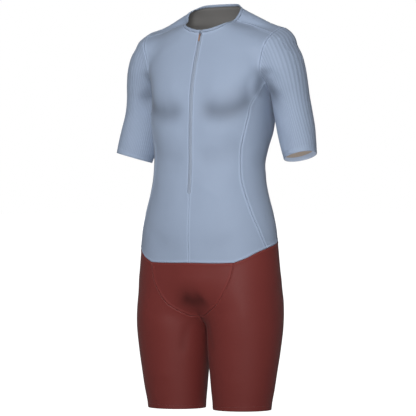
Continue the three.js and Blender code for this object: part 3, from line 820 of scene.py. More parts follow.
@dataclass(frozen=True)
class HemProfile:
    """The turned hem along an open edge, in millimetres."""

    width: float = 12.0
    step: float = 0.35
    groove_depth: float = 0.35
    groove_width: float = 1.2
    stitch_at: float = 10.0
    roll_depth: float = 0.5
    roll_width: float = 0.9
    # dark: strength of the painted shade in the stitch groove
    dark: float = 0.5

    def height(self, distance: Array) -> Array:
        """How far the hem stands out at a distance from the open edge.

        Args:
            distance: Distance from the open edge.

        Returns:
            The height, below 0 for a dip.
        """
        raised = self.step * (1.0 - ease(distance, self.width - 1.0, self.width + 1.0))
        rolled = self.roll_depth * np.exp(-((distance / self.roll_width) ** 2))
        return raised - self.groove_depth * self.groove(distance) - rolled

    def tone(self, distance: Array) -> Array:
        """Painted shade: how much darker the cloth is made in the groove under the hem's stitches."""
        return -self.dark * self.groove(distance)

    def groove(self, distance: Array) -> Array:
        """The dip under the hem's stitches, from 0 to 1."""
        return np.exp(-(((distance - self.stitch_at) / self.groove_width) ** 2))


PROFILE = SeamProfile()
HEM = HemProfile()
ZIP_PROFILE = SeamProfile(
    groove_depth=0.15, groove_width=0.9, ridge_height=0.55, ridge_at=2.6, ridge_width=1.7)
PROFILES = {EdgeKind.SEAM: PROFILE, EdgeKind.HEM: HEM, EdgeKind.ZIP: ZIP_PROFILE}
# Cells next to an edge that the profile's lines replace, and the room they need beyond the last line
EDGE_SPAN = 3
EDGE_ROOM = 1.5
FOLD_STEPS = 14
FOLD_REACH = 3


def tightened(values: Array, first: bool, axis: int) -> Array:
    """Puts closer lines next to one edge of a grid.

    Args:
        values: Points and directions, rows by columns.
        first: Whether the edge is the axis's first line and not its last.
        axis: The axis that the lines are counted on.

    Returns:
        The grid with the profile's lines in place of the edge's own cells.
    """
    g = np.moveaxis(values, axis, 0)
    g = g if first else g[::-1]
    near = g[: EDGE_SPAN + 1]
    reach = distance_along(near[..., :3])
    room = reach[-1]
    shrink = np.minimum(1.0, room / (PROFILE.lines[-1] * EDGE_ROOM))
    wanted = [distance * shrink for distance in PROFILE.lines]
    wanted.append((wanted[-1] + room) / 2.0)
    made = []
    for target in wanted:
        cell = np.clip((reach[1:] < target).sum(0), 0, EDGE_SPAN - 1)
        low = np.take_along_axis(reach, cell[None], 0)[0]
        high = np.take_along_axis(reach, cell[None] + 1, 0)[0]
        part = ((target - low) / np.maximum(high - low, 1e-6))[..., None]
        index = np.broadcast_to(cell[None, :, None], (1, *g.shape[1:]))
        start = np.take_along_axis(near, index, 0)[0]
        end = np.take_along_axis(near, index + 1, 0)[0]
        made.append(start * (1 - part) + end * part)
    g = np.concatenate([np.stack(made), g[EDGE_SPAN:]])
    return np.moveaxis(g if first else g[::-1], 0, axis)


@dataclass(frozen=True)
class Fold:
    """One crease or soft swell of the cloth along a line on the form, and the painted shade that its tone
    lays along it.
    """

    path: tuple[tuple[float, float, float], ...]
    height: float
    width: float
    fade: float = 0.3
    # tone: painted shade laid along the fold, darker where it is below 0
    tone: float = 0.0

    def share(self, form: Form, at: Array) -> Array:
        """How much of the fold each point of the cloth has.

        Args:
            form: The form that its line lies on.
            at: Points of the cloth.

        Returns:
            From 0, beyond the fold, to 1, on its line.
        """
        line = settle(form, smooth_line(points(*self.path), FOLD_STEPS)).at
        flat = at.reshape(-1, 3)
        margin = FOLD_REACH * self.width
        box = (flat > line.min(0) - margin).all(1) & (flat < line.max(0) + margin).all(1)
        spot = flat[box]
        best, along = np.full(len(spot), np.inf), np.zeros(len(spot))
        for i in range(len(line) - 1):
            way = line[i + 1] - line[i]
            t = np.clip((spot - line[i]) @ way / (way @ way), 0.0, 1.0)
            off = np.linalg.norm(spot - line[i] - t[:, None] * way, axis=1)
            closer = off < best
            best = np.where(closer, off, best)
            along = np.where(closer, (i + t) / (len(line) - 1), along)
        taper = ease(along, 0.0, self.fade) * ease(1.0 - along, 0.0, self.fade)
        found = np.zeros(len(flat))
        found[box] = taper * np.exp(-((best / self.width) ** 2))
        return found.reshape(at.shape[:-1])


@dataclass
class Sheet:
    """A finished grid of cloth: its form, how far both faces are lifted, its outside's relief, and its
    painted light and shade.
    """

    samples: Samples
    lift: Array
    # tone: painted highlights on seam ridges and painted shade in grooves and along folds
    tone: Array
    closed: bool
    wall: float = 1.1
    relief: Array | float = 0.0

    def outer(self) -> Array:
        """The outside of the cloth."""
        return self.samples.sunk(-self.lift - self.relief)

    def inner(self) -> Array:
        """The inside of the cloth."""
        return self.samples.sunk(self.wall - self.lift)

    def lengths(self) -> tuple[Array, Array]:
        """Distance along each column and along each row, in metres."""
        at = self.samples.at * METRES
        return distance_along(at), distance_along(at.swapaxes(0, 1)).T


def edge_distance(at: Array, axis: int, first: bool) -> Array:
    """Distance of each grid point from one edge, measured along the grid.

    Args:
        at: Points, rows by columns.
        axis: The axis to measure along.
        first: Whether the edge is the axis's first line and not its last.

    Returns:
        A distance for each point.
    """
    g = np.moveaxis(at, axis, 0)
    reach = distance_along(g if first else g[::-1])
    return np.moveaxis(reach if first else reach[::-1], 0, axis)


def finished(grid: Samples, form: Form, edges: dict[str, EdgeKind], folds: list[Fold],
             closed: bool = False, settle_again: bool = True) -> Sheet:
    """Turns a plain grid into a sheet with its seams, hems and folds, and the painted light and shade that go
    with them.

    Args:
        grid: Samples of the cloth, rows by columns.
        form: The form that it follows.
        edges: The kind of each edge: top, bottom, left and right.
        folds: Creases to lay in it.
        closed: Whether it joins itself round its columns.
        settle_again: Whether the added lines are settled on the form.

    Returns:
        The finished sheet.
    """
    values = np.concatenate([grid.at, grid.out], axis=-1)
    sides = {"top": (0, True), "bottom": (0, False), "left": (1, True), "right": (1, False)}
    for name in edges:
        axis, first = sides[name]
        values = tightened(values, first, axis)
    at, out = values[..., :3], unit(values[..., 3:])
    if settle_again:
        again = settle(form, at, 2)
        inside = np.ones(at.shape[:2], bool)
        inside[[0, -1]] = False
        if not closed:
            inside[:, [0, -1]] = False
        at = np.where(inside[..., None], again.at, at)
        out = np.where(inside[..., None], again.out, out)
    # tone gathers painted light and shade: highlights on seam ridges, shade in seam and hem grooves and along
    # folds
    lift, tone = np.zeros(at.shape[:2]), np.zeros(at.shape[:2])
    for name, kind in edges.items():
        distance = edge_distance(at, *sides[name])
        lift = lift + PROFILES[kind].height(distance)
        tone = tone + PROFILES[kind].tone(distance)
    for fold in folds:
        share = fold.share(form, at)
        lift, tone = lift + fold.height * share, tone + fold.tone * share
    return Sheet(Samples(at, out), lift, tone, closed)


def mesh_object(name: str, vertices: Array, faces: Sequence[Sequence[int]],
                inside: Array | None = None, uv: Array | None = None,
                tone: Array | None = None) -> bpy.types.Object:
    """Makes a smooth mesh object from millimetre points.

    Args:
        name: Name of the object.
        vertices: Points in millimetres.
        faces: Corner indices of each face.
        inside: For each face, whether it is on the reverse side.
        uv: Cloth coordinates of each vertex, in metres.
        tone: Painted light and shade at each vertex, how much lighter or darker the cloth is made there.

    Returns:
        The object, linked to the scene.
    """
    mesh = bpy.data.meshes.new(name)
    mesh.from_pydata((vertices * METRES).tolist(), [], faces)
    mesh.polygons.foreach_set("use_smooth", np.ones(len(mesh.polygons), bool))
    if inside is not None:
        mesh.polygons.foreach_set("material_index", inside.astype(np.int32))
    if uv is not None:
        layer = mesh.uv_layers.new(name="cloth")
        corners = np.zeros(len(mesh.loops), np.int32)
        mesh.loops.foreach_get("vertex_index", corners)
        layer.data.foreach_set("uv", uv[corners].astype(np.float32).ravel())
    if tone is not None:
        attribute = mesh.attributes.new("tone", "FLOAT", "POINT")
        attribute.data.foreach_set("value", tone.astype(np.float32))
    mesh.update()
    made = bpy.data.objects.new(name, mesh)
    bpy.context.scene.collection.objects.link(made)
    return made


def grid_quads(rows: int, columns: int, closed: bool) -> Array:
    """Corner indices of a grid's cells, facing out.

    Args:
        rows: Number of rows.
        columns: Number of columns.
        closed: Whether the last column joins the first.

    Returns:
        Four indices for each cell.
    """
    width = columns if closed else columns - 1
    r, c = np.meshgrid(np.arange(rows - 1), np.arange(width), indexing="ij")
    here, beside = r * columns + c, r * columns + (c + 1) % columns
    return np.stack([here, here + columns, beside + columns, beside], axis=-1).reshape(-1, 4)


def cloth_object(name: str, sheet: Sheet) -> bpy.types.Object:
    """Builds a closed thin shell of cloth from a finished sheet.

    Args:
        name: Name of the object.
        sheet: The sheet to build.

    Returns:
        The object, with its outside in slot 0 and its reverse in slot 1.
    """
    outer, inner, tone = sheet.outer(), sheet.inner(), sheet.tone
    down, across = sheet.lengths()
    if sheet.closed:
        outer, inner, down, across, tone = (
            np.concatenate([part, part[:, :1]], axis=1)
            for part in (outer, inner, down, across, tone))
        across[:, -1] = across[:, -2] + (across[:, -2] - across[:, -3])
    rows, columns = outer.shape[:2]
    count = rows * columns
    front = grid_quads(rows, columns, False)
    back = front[:, ::-1] + count
    ring = [np.arange(columns), np.arange(columns - 1, -1, -1) + (rows - 1) * columns]
    if not sheet.closed:
        ring += [np.arange(rows - 1, -1, -1) * columns, np.arange(rows) * columns + columns - 1]
    rims = [np.stack([line[:-1], line[1:], line[1:] + count, line[:-1] + count], axis=-1) for line in ring]
    faces = np.concatenate([front, back, *rims])
    inside = np.zeros(len(faces), bool)
    inside[len(front) : 2 * len(front)] = True
    uv = np.stack([across, down], axis=-1).reshape(-1, 2)
    vertices = np.concatenate([outer.reshape(-1, 3), inner.reshape(-1, 3)])
    made = mesh_object(name, vertices, faces.tolist(), inside, np.concatenate([uv, uv]),
                       np.concatenate([tone.ravel(), tone.ravel()]))
    tidy_mesh(made)
    return made


def tidy_mesh(made: bpy.types.Object) -> None:
    """Joins points that lie in one place, such as a closed tube's edge.

    Args:
        made: The object, changed in place.
    """
    work = bmesh.new()
    work.from_mesh(made.data)
    bmesh.ops.remove_doubles(work, verts=work.verts, dist=1e-6)
    bmesh.ops.dissolve_degenerate(work, edges=work.edges, dist=1e-7)
    work.to_mesh(made.data)
    work.free()


# Shader building: a socket with arithmetic, and one method that adds any node


class Wire:
    """A shader socket that takes part in Python expressions."""

    def __init__(self, shop: "NodeShop", socket: bpy.types.NodeSocket) -> None:
        """Wraps a socket.

        Args:
            shop: The material that it belongs to.
            socket: The output socket.
        """
        self.shop, self.socket = shop, socket

    def math(self, operation: str, other: "Wire | float", flipped: bool = False) -> "Wire":
        """Adds a Math node on this socket and another value."""
        pair = (other, self) if flipped else (self, other)
        return self.shop.add("ShaderNodeMath", {"operation": operation}, {0: pair[0], 1: pair[1]})

    def __add__(self, other: "Wire | float") -> "Wire":
        """Sum."""
        return self.math("ADD", other)

    def __radd__(self, other: float) -> "Wire":
        """Sum with a number first."""
        return self.math("ADD", other, True)

    def __sub__(self, other: "Wire | float") -> "Wire":
        """Difference."""
        return self.math("SUBTRACT", other)

    def __rsub__(self, other: float) -> "Wire":
        """Difference from a number."""
        return self.math("SUBTRACT", other, True)

    def __mul__(self, other: "Wire | float") -> "Wire":
        """Product."""
        return self.math("MULTIPLY", other)

    def __rmul__(self, other: float) -> "Wire":
        """Product with a number first."""
        return self.math("MULTIPLY", other, True)

    def sine(self) -> "Wire":
        """Sine."""
        return self.shop.add("ShaderNodeMath", {"operation": "SINE"}, {0: self})

    def clamped(self) -> "Wire":
        """The value held between 0 and 1."""
        return self.shop.add("ShaderNodeClamp", {}, {"Value": self})


class NodeShop:
    """Builds one material, or the world, from nodes."""

    def __init__(self, owner: bpy.types.Material | bpy.types.World) -> None:
        """Starts with no nodes.

        Args:
            owner: The material or world.
        """
        owner.use_nodes = True
        self.owner, self.tree = owner, owner.node_tree
        self.tree.nodes.clear()

    def node(self, kind: str, settings: dict[str, object], sockets: dict[object, object]) -> bpy.types.Node:
        """Adds a node.

        Args:
            kind: The node's type.
            settings: Values of its own settings, such as an operation.
            sockets: Values or wires for its inputs.

        Returns:
            The node.
        """
        node = self.tree.nodes.new(kind)
        for key, value in settings.items():
            setattr(node, key, value)
        for key, value in sockets.items():
            if isinstance(value, Wire):
                self.tree.links.new(value.socket, node.inputs[key])
            else:
                node.inputs[key].default_value = value
        return node

    def add(self, kind: str, settings: dict[str, object], sockets: dict[object, object],
            output: str | int = 0) -> Wire:
        """Adds a node, as node() does, and returns one of its outputs."""
        return Wire(self, self.node(kind, settings, sockets).outputs[output])

    def axis(self, vector: Wire, name: str) -> Wire:
        """One part of a vector."""
        return self.add("ShaderNodeSeparateXYZ", {}, {0: vector}, name)

    def cloth_place(self) -> Wire:
        """Cloth coordinates across and down, in metres."""
        return self.add("ShaderNodeTexCoord", {}, {}, "UV")

    def place(self) -> Wire:
        """The point on the object, in metres."""
        return self.add("ShaderNodeTexCoord", {}, {}, "Object")

    def noise(self, size: float, detail: float = 2.0) -> Wire:
        """Soft noise of a feature size in metres."""
        sockets = {"Vector": self.place(), "Scale": 1.0 / size, "Detail": detail}
        return self.add("ShaderNodeTexNoise", {}, sockets, "Fac")

    def mixed(self, factor: Wire | float, first: Colour, second: Colour) -> Wire:
        """A colour between two colours."""
        colours = {6: (*first, 1.0), 7: (*second, 1.0)}
        return self.add("ShaderNodeMix", {"data_type": "RGBA"}, {0: factor, **colours}, 2)

    def surface(self, colour: Wire, roughness: Wire | float, height: Wire | None = None,
                depth: float = 0.0, **constants: object) -> bpy.types.Material:
        """Closes the material with a Principled shader.

        Args:
            colour: Base colour.
            roughness: Roughness.
            height: Relief from 0 to 1, if any.
            depth: Full height of the relief in metres.
            **constants: Other sockets of the shader, by name with underscores.

        Returns:
            The finished material.
        """
        sockets: dict[object, object] = {"Base Color": colour, "Roughness": roughness}
        sockets |= {key.replace("_", " "): value for key, value in constants.items()}
        if height is not None:
            relief = {"Height": height, "Distance": depth, "Strength": 1.0}
            sockets["Normal"] = self.add("ShaderNodeBump", {}, relief)
        shader = self.add("ShaderNodeBsdfPrincipled", {}, sockets)
        self.node("ShaderNodeOutputMaterial", {}, {"Surface": shader})
        return self.owner


def linear(*steps: int) -> Colour:
    """A colour of three steps from 0 to 255 as the shader's linear values."""
    return tuple(((step / 255.0 + 0.055) / 1.055) ** 2.4 for step in steps)


def scaled(colour: Colour, by: float) -> Colour:
    """A colour made lighter or darker."""
    return tuple(min(channel * by, 1.0) for channel in colour)


@dataclass(frozen=True)
class Finish:
    """A finish with its material's name and its colour."""

    name: str
    colour: Colour

    def start(self) -> NodeShop:
        """Starts the finish's material."""
        return NodeShop(bpy.data.materials.new(self.name))

    def shaded(self, shop: NodeShop, tone: Wire, dark: float, light: float) -> Wire:
        """The colour, made darker or lighter by a tone from 0 to 1."""
        return shop.mixed(tone, scaled(self.colour, dark), scaled(self.colour, light))


@dataclass(frozen=True)
class KnitFinish(Finish):
    """Smooth knitted stretch cloth with a fine stitch pattern, made lighter and darker by the painted light
    and shade of the tone attribute.
    """

    wale: float = 0.0008
    course: float = 0.0006
    relief: float = 0.00006
    patch: float = 0.045
    spread: float = 0.05
    roughness: float = 0.62
    sheen: float = 0.06
    gloss: float = 0.2
    # How far the painted light and shade in the tone attribute lightens or darkens the colour
    painted_shading_reach: float = 0.2
    # through: a painted glow, emission in the cloth's own colour that lightens it where it lies in shade
    through: float = 0.0
    slant: float = 0.9
    yarn: float = 0.0022

    def material(self) -> bpy.types.Material:
        """Builds the cloth's material.

        Returns:
            The material.
        """
        shop = self.start()
        cloth = shop.cloth_place()
        u, v = shop.axis(cloth, "X"), shop.axis(cloth, "Y")
        columns = (u * (TURN / self.wale)).sine()
        rows = (v * (TURN / self.course) + columns * self.slant).sine()
        stitch = columns * 0.25 + rows * 0.25 + 0.5
        patches = shop.noise(self.patch, 3.0) - 0.5
        yarn = shop.noise(self.yarn) - 0.5
        tone = patches * self.spread + yarn * (self.spread * 0.8) + (stitch - 0.5) * 0.06 + 0.5
        # The tone attribute holds painted light and shade: highlights on seam ridges, shade in seam, hem and
        # rib grooves and along folds
        painted_shading = shop.add("ShaderNodeAttribute", {"attribute_name": "tone"}, {}, "Fac")
        tone = tone + painted_shading * self.painted_shading_reach
        colour = self.shaded(shop, tone.clamped(), 0.5, 1.5)
        rough = (patches * 0.1 + yarn * 0.12 + self.roughness).clamped()
        height = stitch * 0.8 + yarn * 0.4
        # Emission at the strength of through is a painted glow, not a lamp
        return shop.surface(colour, rough, height, self.relief, Sheen_Weight=self.sheen,
                            Sheen_Roughness=0.45, Specular_IOR_Level=self.gloss,
                            Emission_Color=(*self.colour, 1.0), Emission_Strength=self.through)


@dataclass(frozen=True)
class ThreadFinish(Finish):
    """Twisted sewing thread."""

    ply: float = 0.0006

    def material(self) -> bpy.types.Material:
        """Builds the thread's material.

        Returns:
            The material.
        """
        shop = self.start()
        twist = shop.noise(self.ply, 1.0)
        colour = self.shaded(shop, twist, 0.85, 1.15)
        return shop.surface(colour, 0.55 + (twist - 0.5) * 0.1, twist, 0.00003, Sheen_Weight=0.2)


@dataclass(frozen=True)
class TapeFinish(Finish):
    """Woven zip tape with a herringbone of fine ribs."""

    fleck: float = 0.004
    pitch: float = 0.0007
    relief: float = 0.00006

    def material(self) -> bpy.types.Material:
        """Builds the tape's material.

        Returns:
            The material.
        """
        shop = self.start()
        cloth = shop.cloth_place()
        u, v = shop.axis(cloth, "X"), shop.axis(cloth, "Y")
        slant = shop.add("ShaderNodeMath", {"operation": "PINGPONG"}, {0: u, 1: self.pitch * 2})
        weave = ((v + slant) * (TURN / self.pitch)).sine() * 0.5 + 0.5
        fleck = shop.noise(self.fleck)
        tone = weave * 0.3 + fleck * 0.4 + 0.15
        colour = self.shaded(shop, tone.clamped(), 0.82, 1.14)
        rough = 0.66 + (fleck - 0.5) * 0.1
        return shop.surface(colour, rough, weave, self.relief, Sheen_Weight=0.15)


@dataclass(frozen=True)
class CoilFinish(Finish):
    """Moulded nylon coil."""

    wear: float = 0.003

    def material(self) -> bpy.types.Material:
        """Builds the coil's material.

        Returns:
            The material.
        """
        shop = self.start()
        worn = shop.noise(self.wear, 3.0)
        colour = self.shaded(shop, worn, 0.88, 1.1)
        return shop.surface(colour, 0.38 + worn * 0.15, worn, 0.00002, Coat_Weight=0.1)


@dataclass(frozen=True)
class PaintedMetalFinish(Finish):
    """Satin lacquer on a small zinc casting, a little rubbed."""

    bare: Colour = linear(170, 172, 176)
    grain: float = 0.0012
    wear: float = 0.005

    def material(self) -> bpy.types.Material:
        """Builds the metal's material.

        Returns:
            The material.
        """
        shop = self.start()
        grain = shop.noise(self.grain, 4.0)
        rubbed = (shop.noise(self.wear) * 3.0 - 1.5).clamped()
        colour = shop.mixed(rubbed * 0.35, self.colour, self.bare)
        rough = (0.34 + grain * 0.16 - rubbed * 0.06).clamped()
        return shop.surface(colour, rough, grain, 0.00002, Metallic=0.55, Coat_Weight=0.15)


@dataclass(frozen=True)
class LeatherFinish(Finish):
    """Thin matt leather with a fine grain and soft stains."""

    grain: float = 0.0007
    stain: float = 0.006

    def material(self) -> bpy.types.Material:
        """Builds the leather's material.

        Returns:
            The material.
        """
        shop = self.start()
        cells = shop.add("ShaderNodeTexVoronoi", {"feature": "DISTANCE_TO_EDGE"},
                         {"Vector": shop.place(), "Scale": 1.0 / self.grain}, "Distance")
        grain = (cells * 2.2).clamped()
        stain = shop.noise(self.stain, 3.0)
        tone = stain * 0.7 + grain * 0.3
        colour = self.shaded(shop, tone.clamped(), 0.68, 1.22)
        return shop.surface(colour, 0.5 + stain * 0.2, grain, 0.00008, Sheen_Weight=0.1)


@dataclass(frozen=True)
class FloorFinish:
    """Plain pale studio paper, as bright as the surround."""

    name: str = "studio_paper"
    fibre: float = 0.02
    glow: float = 0.96

    def material(self) -> bpy.types.Material:
        """Builds the paper's material.

        Returns:
            The material.
        """
        shop = NodeShop(bpy.data.materials.new(self.name))
        colour = shop.mixed(shop.noise(self.fibre), (0.88, 0.88, 0.88), (0.92, 0.92, 0.92))
        return shop.surface(colour, 0.9, Emission_Color=(1.0, 1.0, 1.0, 1.0),
                            Emission_Strength=self.glow)


@dataclass
class Wardrobe:
    """Every finish of the suit, built once."""

    body_colour: Colour = linear(145, 159, 181)
    leg_colour: Colour = linear(109, 45, 42)
    reverse_colour: Colour = linear(90, 89, 88)
    made: dict[str, bpy.types.Material] = field(default_factory=dict)

    def build(self) -> None:
        """Builds all materials."""
        body, leg = self.body_colour, self.leg_colour
        finishes = (
            KnitFinish("body_knit", body),
            KnitFinish("rib_knit", scaled(body, 1.06), roughness=0.68, relief=0.00008),
            KnitFinish("leg_knit", leg, wale=0.0006, course=0.0005, spread=0.07, roughness=0.55,
                       sheen=0.03),
            # The reverses and the cuffs' hem bands glow (through): painted light in the shaded insides of
            # neck and cuffs
            KnitFinish("reverse_knit", self.reverse_colour, wale=0.0009, roughness=0.8,
                       through=0.42),
            KnitFinish("rib_reverse_knit", linear(160, 149, 140), wale=0.0009, roughness=0.8,
                       through=0.45),
            KnitFinish("leg_reverse_knit", scaled(leg, 0.55), wale=0.0009, roughness=0.8),
            KnitFinish("binding_knit", scaled(body, 0.97), wale=0.0007, roughness=0.6),
            KnitFinish("hem_knit", linear(158, 171, 191), roughness=0.66, through=0.5),
            ThreadFinish("body_thread", scaled(body, 1.12)),
            ThreadFinish("leg_thread", scaled(leg, 1.25)),
            TapeFinish("zip_tape_weave", linear(142, 154, 173)),
            CoilFinish("zip_coil", linear(128, 138, 154)),
            PaintedMetalFinish("slider_lacquer", scaled(body, 0.8)),
            LeatherFinish("pull_leather", linear(150, 118, 98)),
            FloorFinish(),
        )
        for finish in finishes:
            self.made[finish.name] = finish.material()

    def dress(self, made: bpy.types.Object, *names: str) -> None:
        """Gives an object its materials, in slot order.

        Args:
            made: The object.
            *names: Names of the finishes.
        """
        for slot, name in enumerate(names):
            if slot < len(made.data.materials):
                made.data.materials[slot] = self.made[name]
            else:
                made.data.materials.append(self.made[name])


# Creases and soft swells, on the wearer's left and right as they fall in the photograph, and
# like ones at the back. A fold's fifth number is painted shade along its hollow; folds of height 0 are
# painted shade alone

FRONT_FOLDS = [
    Fold(((22, -90, -190), (80, -90, -204), (132, -50, -186)), 3.0, 34),
    Fold(((-22, -90, -190), (-80, -90, -206), (-132, -50, -190)), 3.0, 34),
    Fold(((14, -106, -300), (62, -104, -306), (110, -76, -300)), 1.6, 22),
    Fold(((-14, -106, -302), (-62, -104, -310), (-110, -76, -304)), 1.4, 22),
    Fold(((6, -108, -446), (60, -104, -444), (118, -70, -438)), 1.8, 30),
    Fold(((-6, -108, -440), (-60, -104, -438), (-118, -70, -430)), 1.5, 30),
    Fold(((10, -112, -584), (64, -108, -580), (120, -84, -552)), -1.5, 24, 0.3, -0.15),
    Fold(((-10, -112, -586), (-64, -108, -584), (-120, -84, -560)), -1.5, 24, 0.3, -0.15),
    Fold(((150, -42, -150), (138, -60, -196), (140, -50, -232)), -1.4, 10),
    Fold(((-150, -42, -150), (-140, -60, -200), (-142, -48, -236)), -1.4, 10),
    Fold(((10, -104, -352), (48, -100, -338), (92, -80, -346)), 0.9, 11),
    Fold(((14, -104, -388), (58, -98, -380), (104, -75, -392)), -0.8, 12),
    Fold(((-8, -104, -362), (-52, -100, -352), (-100, -76, -360)), 0.8, 12),
    Fold(((-12, -106, -418), (-60, -98, -404), (-108, -72, -414)), -0.8, 13),
    Fold(((12, -106, -432), (50, -102, -446), (80, -92, -470)), 0.9, 10),
    Fold(((-14, -108, -462), (-60, -104, -476), (-110, -84, -466)), 0.8, 13),
    Fold(((60, -106, -572), (96, -94, -552), (136, -72, -516)), 0.8, 14),
    Fold(((-60, -106, -580), (-100, -92, -556), (-140, -68, -524)), -0.7, 13),
    Fold(((36, -50, -62), (78, -42, -92), (120, -48, -122)), 0.7, 12),
    Fold(((-36, -50, -62), (-80, -42, -96), (-122, -48, -126)), 0.7, 12),
]
# Painted shade: dark bands in the hollows under the chest, across the belly and at the armpits; the two of
# height 0 under the chest are painted shade with no crease beneath
SHARED_FOLDS = [
    Fold(((150, -28, -208), (138, -55, -233), (112, -86, -254), (74, -105, -260), (10, -110, -244)), -6.0, 20,
         0.25, -1.2),
    Fold(((150, -36, -190), (136, -58, -219), (112, -86, -241), (74, -105, -247), (6, -110, -234)), 0.0, 34,
         0.3, -0.95),
    Fold(((-150, -28, -208), (-138, -55, -233), (-112, -86, -256), (-74, -105, -261), (-10, -110, -244)),
         -5.4, 20, 0.25, -1.0),
    Fold(((-150, -36, -192), (-136, -58, -221), (-112, -86, -243), (-74, -105, -248), (-6, -110, -234)), 0.0,
         34, 0.3, -0.7),
    Fold(((6, -106, -366), (60, -102, -362), (134, -46, -336)), -3.0, 28, 0.25, -0.4),
    Fold(((-6, -106, -370), (-60, -102, -366), (-134, -46, -348)), -2.4, 28, 0.25, -0.3),
    Fold(((160, -34, -142), (153, -22, -184), (146, -28, -226)), -1.0, 18, 0.2, -1.4),
    Fold(((-160, -34, -142), (-153, -22, -184), (-146, -28, -226)), -1.0, 16, 0.2, -0.8),
]
SIDE_FOLDS = [
    Fold(((128, -40, -372), (140, 0, -380), (134, 46, -370)), -1.1, 11),
    Fold(((128, -40, -404), (143, 4, -412), (136, 50, -398)), 0.9, 10),
    Fold(((-128, -40, -378), (-140, 2, -370), (-134, 46, -382)), -1.1, 12),
    Fold(((-128, -40, -410), (-143, 6, -402), (-136, 50, -414)), 0.9, 11),
    Fold(((150, 0, -250), (147, 28, -300), (140, 40, -350)), -0.8, 12),
    Fold(((-150, 0, -256), (-147, 26, -304), (-140, 42, -352)), -0.8, 12),
]
BACK_FOLDS = [
    Fold(((0, 130, -120), (0, 136, -240), (0, 104, -400)), -1.8, 17, 0.25),
    Fold(((118, 84, -372), (62, 100, -392), (8, 98, -384)), -1.5, 10),
    Fold(((-114, 84, -388), (-60, 100, -376), (-6, 98, -392)), -1.4, 11),
    Fold(((112, 80, -416), (58, 97, -426), (4, 97, -418)), 1.2, 10),
    Fold(((-110, 80, -430), (-56, 97, -418), (-2, 97, -428)), 1.1, 10),
    Fold(((104, 84, -452), (52, 99, -462), (10, 99, -456)), -0.9, 11),
    Fold(((150, 84, -150), (112, 120, -190), (84, 134, -250)), 1.3, 16),
    Fold(((-150, 84, -154), (-112, 120, -196), (-86, 134, -258)), 1.3, 16),
    Fold(((146, 84, -186), (120, 112, -232), (104, 120, -290)), -1.2, 12),
    Fold(((-146, 84, -190), (-122, 112, -238), (-106, 120, -296)), -1.2, 12),
    Fold(((60, 80, -22), (90, 84, -60), (128, 96, -84)), 0.8, 14),
    Fold(((-60, 80, -24), (-92, 84, -64), (-128, 96, -90)), 0.8, 14),
]
SLEEVE_FOLDS = [
    Fold(((158, -30, -150), (186, -34, -170), (216, -22, -200)), -1.2, 10),
    Fold(((156, -14, -176), (186, -18, -198), (222, -12, -232)), 0.9, 11),
    Fold(((-158, -30, -154), (-188, -34, -176), (-218, -20, -210)), -1.2, 10),
    Fold(((-156, -14, -180), (-190, -18, -206), (-226, -8, -244)), 0.9, 11),
    Fold(((160, 82, -150), (190, 88, -172), (222, 74, -206)), -1.1, 10),
    Fold(((-160, 82, -156), (-192, 88, -180), (-224, 72, -216)), -1.1, 10),
    Fold(((196, -8, -318), (214, 0, -306), (236, 8, -322)), 0.7, 11),
    Fold(((-196, -8, -312), (-216, 0, -322), (-240, 8, -310)), 0.7, 11),
]
LEG_FOLDS = [
    Fold(((8, -72, -764), (26, -80, -800), (40, -82, -850)), -1.5, 12, 0.3, -0.4),
    Fold(((-8, -72, -764), (-24, -80, -806), (-38, -82, -858)), -1.5, 12, 0.3, -0.4),
    Fold(((112, -90, -660), (126, -82, -724), (140, -70, -780)), 1.2, 20),
    Fold(((-112, -90, -664), (-128, -82, -730), (-142, -70, -790)), 1.2, 20),
    Fold(((40, -84, -752), (84, -90, -744), (130, -74, -728)), -1.0, 14),
    Fold(((-40, -84, -754), (-84, -90, -750), (-130, -74, -736)), -1.0, 14),
    Fold(((12, 70, -752), (56, 98, -776), (112, 94, -770)), -2.2, 12),
    Fold(((-12, 70, -756), (-56, 98, -782), (-112, 94, -774)), -2.2, 12),
    Fold(((20, 60, -790), (66, 92, -808), (118, 84, -800)), 1.2, 11),
    Fold(((-20, 60, -796), (-66, 92, -816), (-118, 84, -806)), 1.2, 11),
    Fold(((4, 108, -580), (3, 106, -650), (2, 88, -722)), -2.4, 14, 0.3),
    Fold(((60, -78, -900), (92, -82, -912), (126, -66, -902)), 0.7, 13),
    Fold(((-60, -78, -906), (-92, -82, -896), (-126, -66, -910)), 0.7, 13),
]
# Painted shade in the hollow low on the gusset; the second fold, of height 0, is painted shade with no crease
# beneath
GUSSET_FOLDS = [
    Fold(((-32, -94, -702), (2, -91, -722), (36, -94, -702)), -3.0, 20, 0.25, -1.6),
    Fold(((-46, -98, -686), (0, -94, -710), (46, -98, -686)), 0.0, 34, 0.35, -0.9),
    Fold(((-70, -96, -656), (0, -108, -668), (70, -96, -656)), 1.0, 24),
]


class Side(Enum):
    """The wearer's two sides."""

    LEFT = "left"
    RIGHT = "right"


def on_side(grid: Samples, side: Side) -> Samples:
    """A left grid, or its mirror for the right."""
    return grid if side is Side.LEFT else grid.mirrored()


def swapped(edges: dict[str, EdgeKind], side: Side) -> dict[str, EdgeKind]:
    """Edge kinds of a left grid, with left and right swapped on its mirror.

    Args:
        edges: The kind of each edge.
        side: The wearer's side.

    Returns:
        The kinds for that side.
    """
    if side is Side.LEFT:
        return edges
    turned = {"left": "right", "right": "left"}
    return {turned.get(name, name): kind for name, kind in edges.items()}


SEAM_STITCH_LINE = 2
SEAM_STITCH_RISE = 0.05
HEM_STITCH_RISE = 0.1


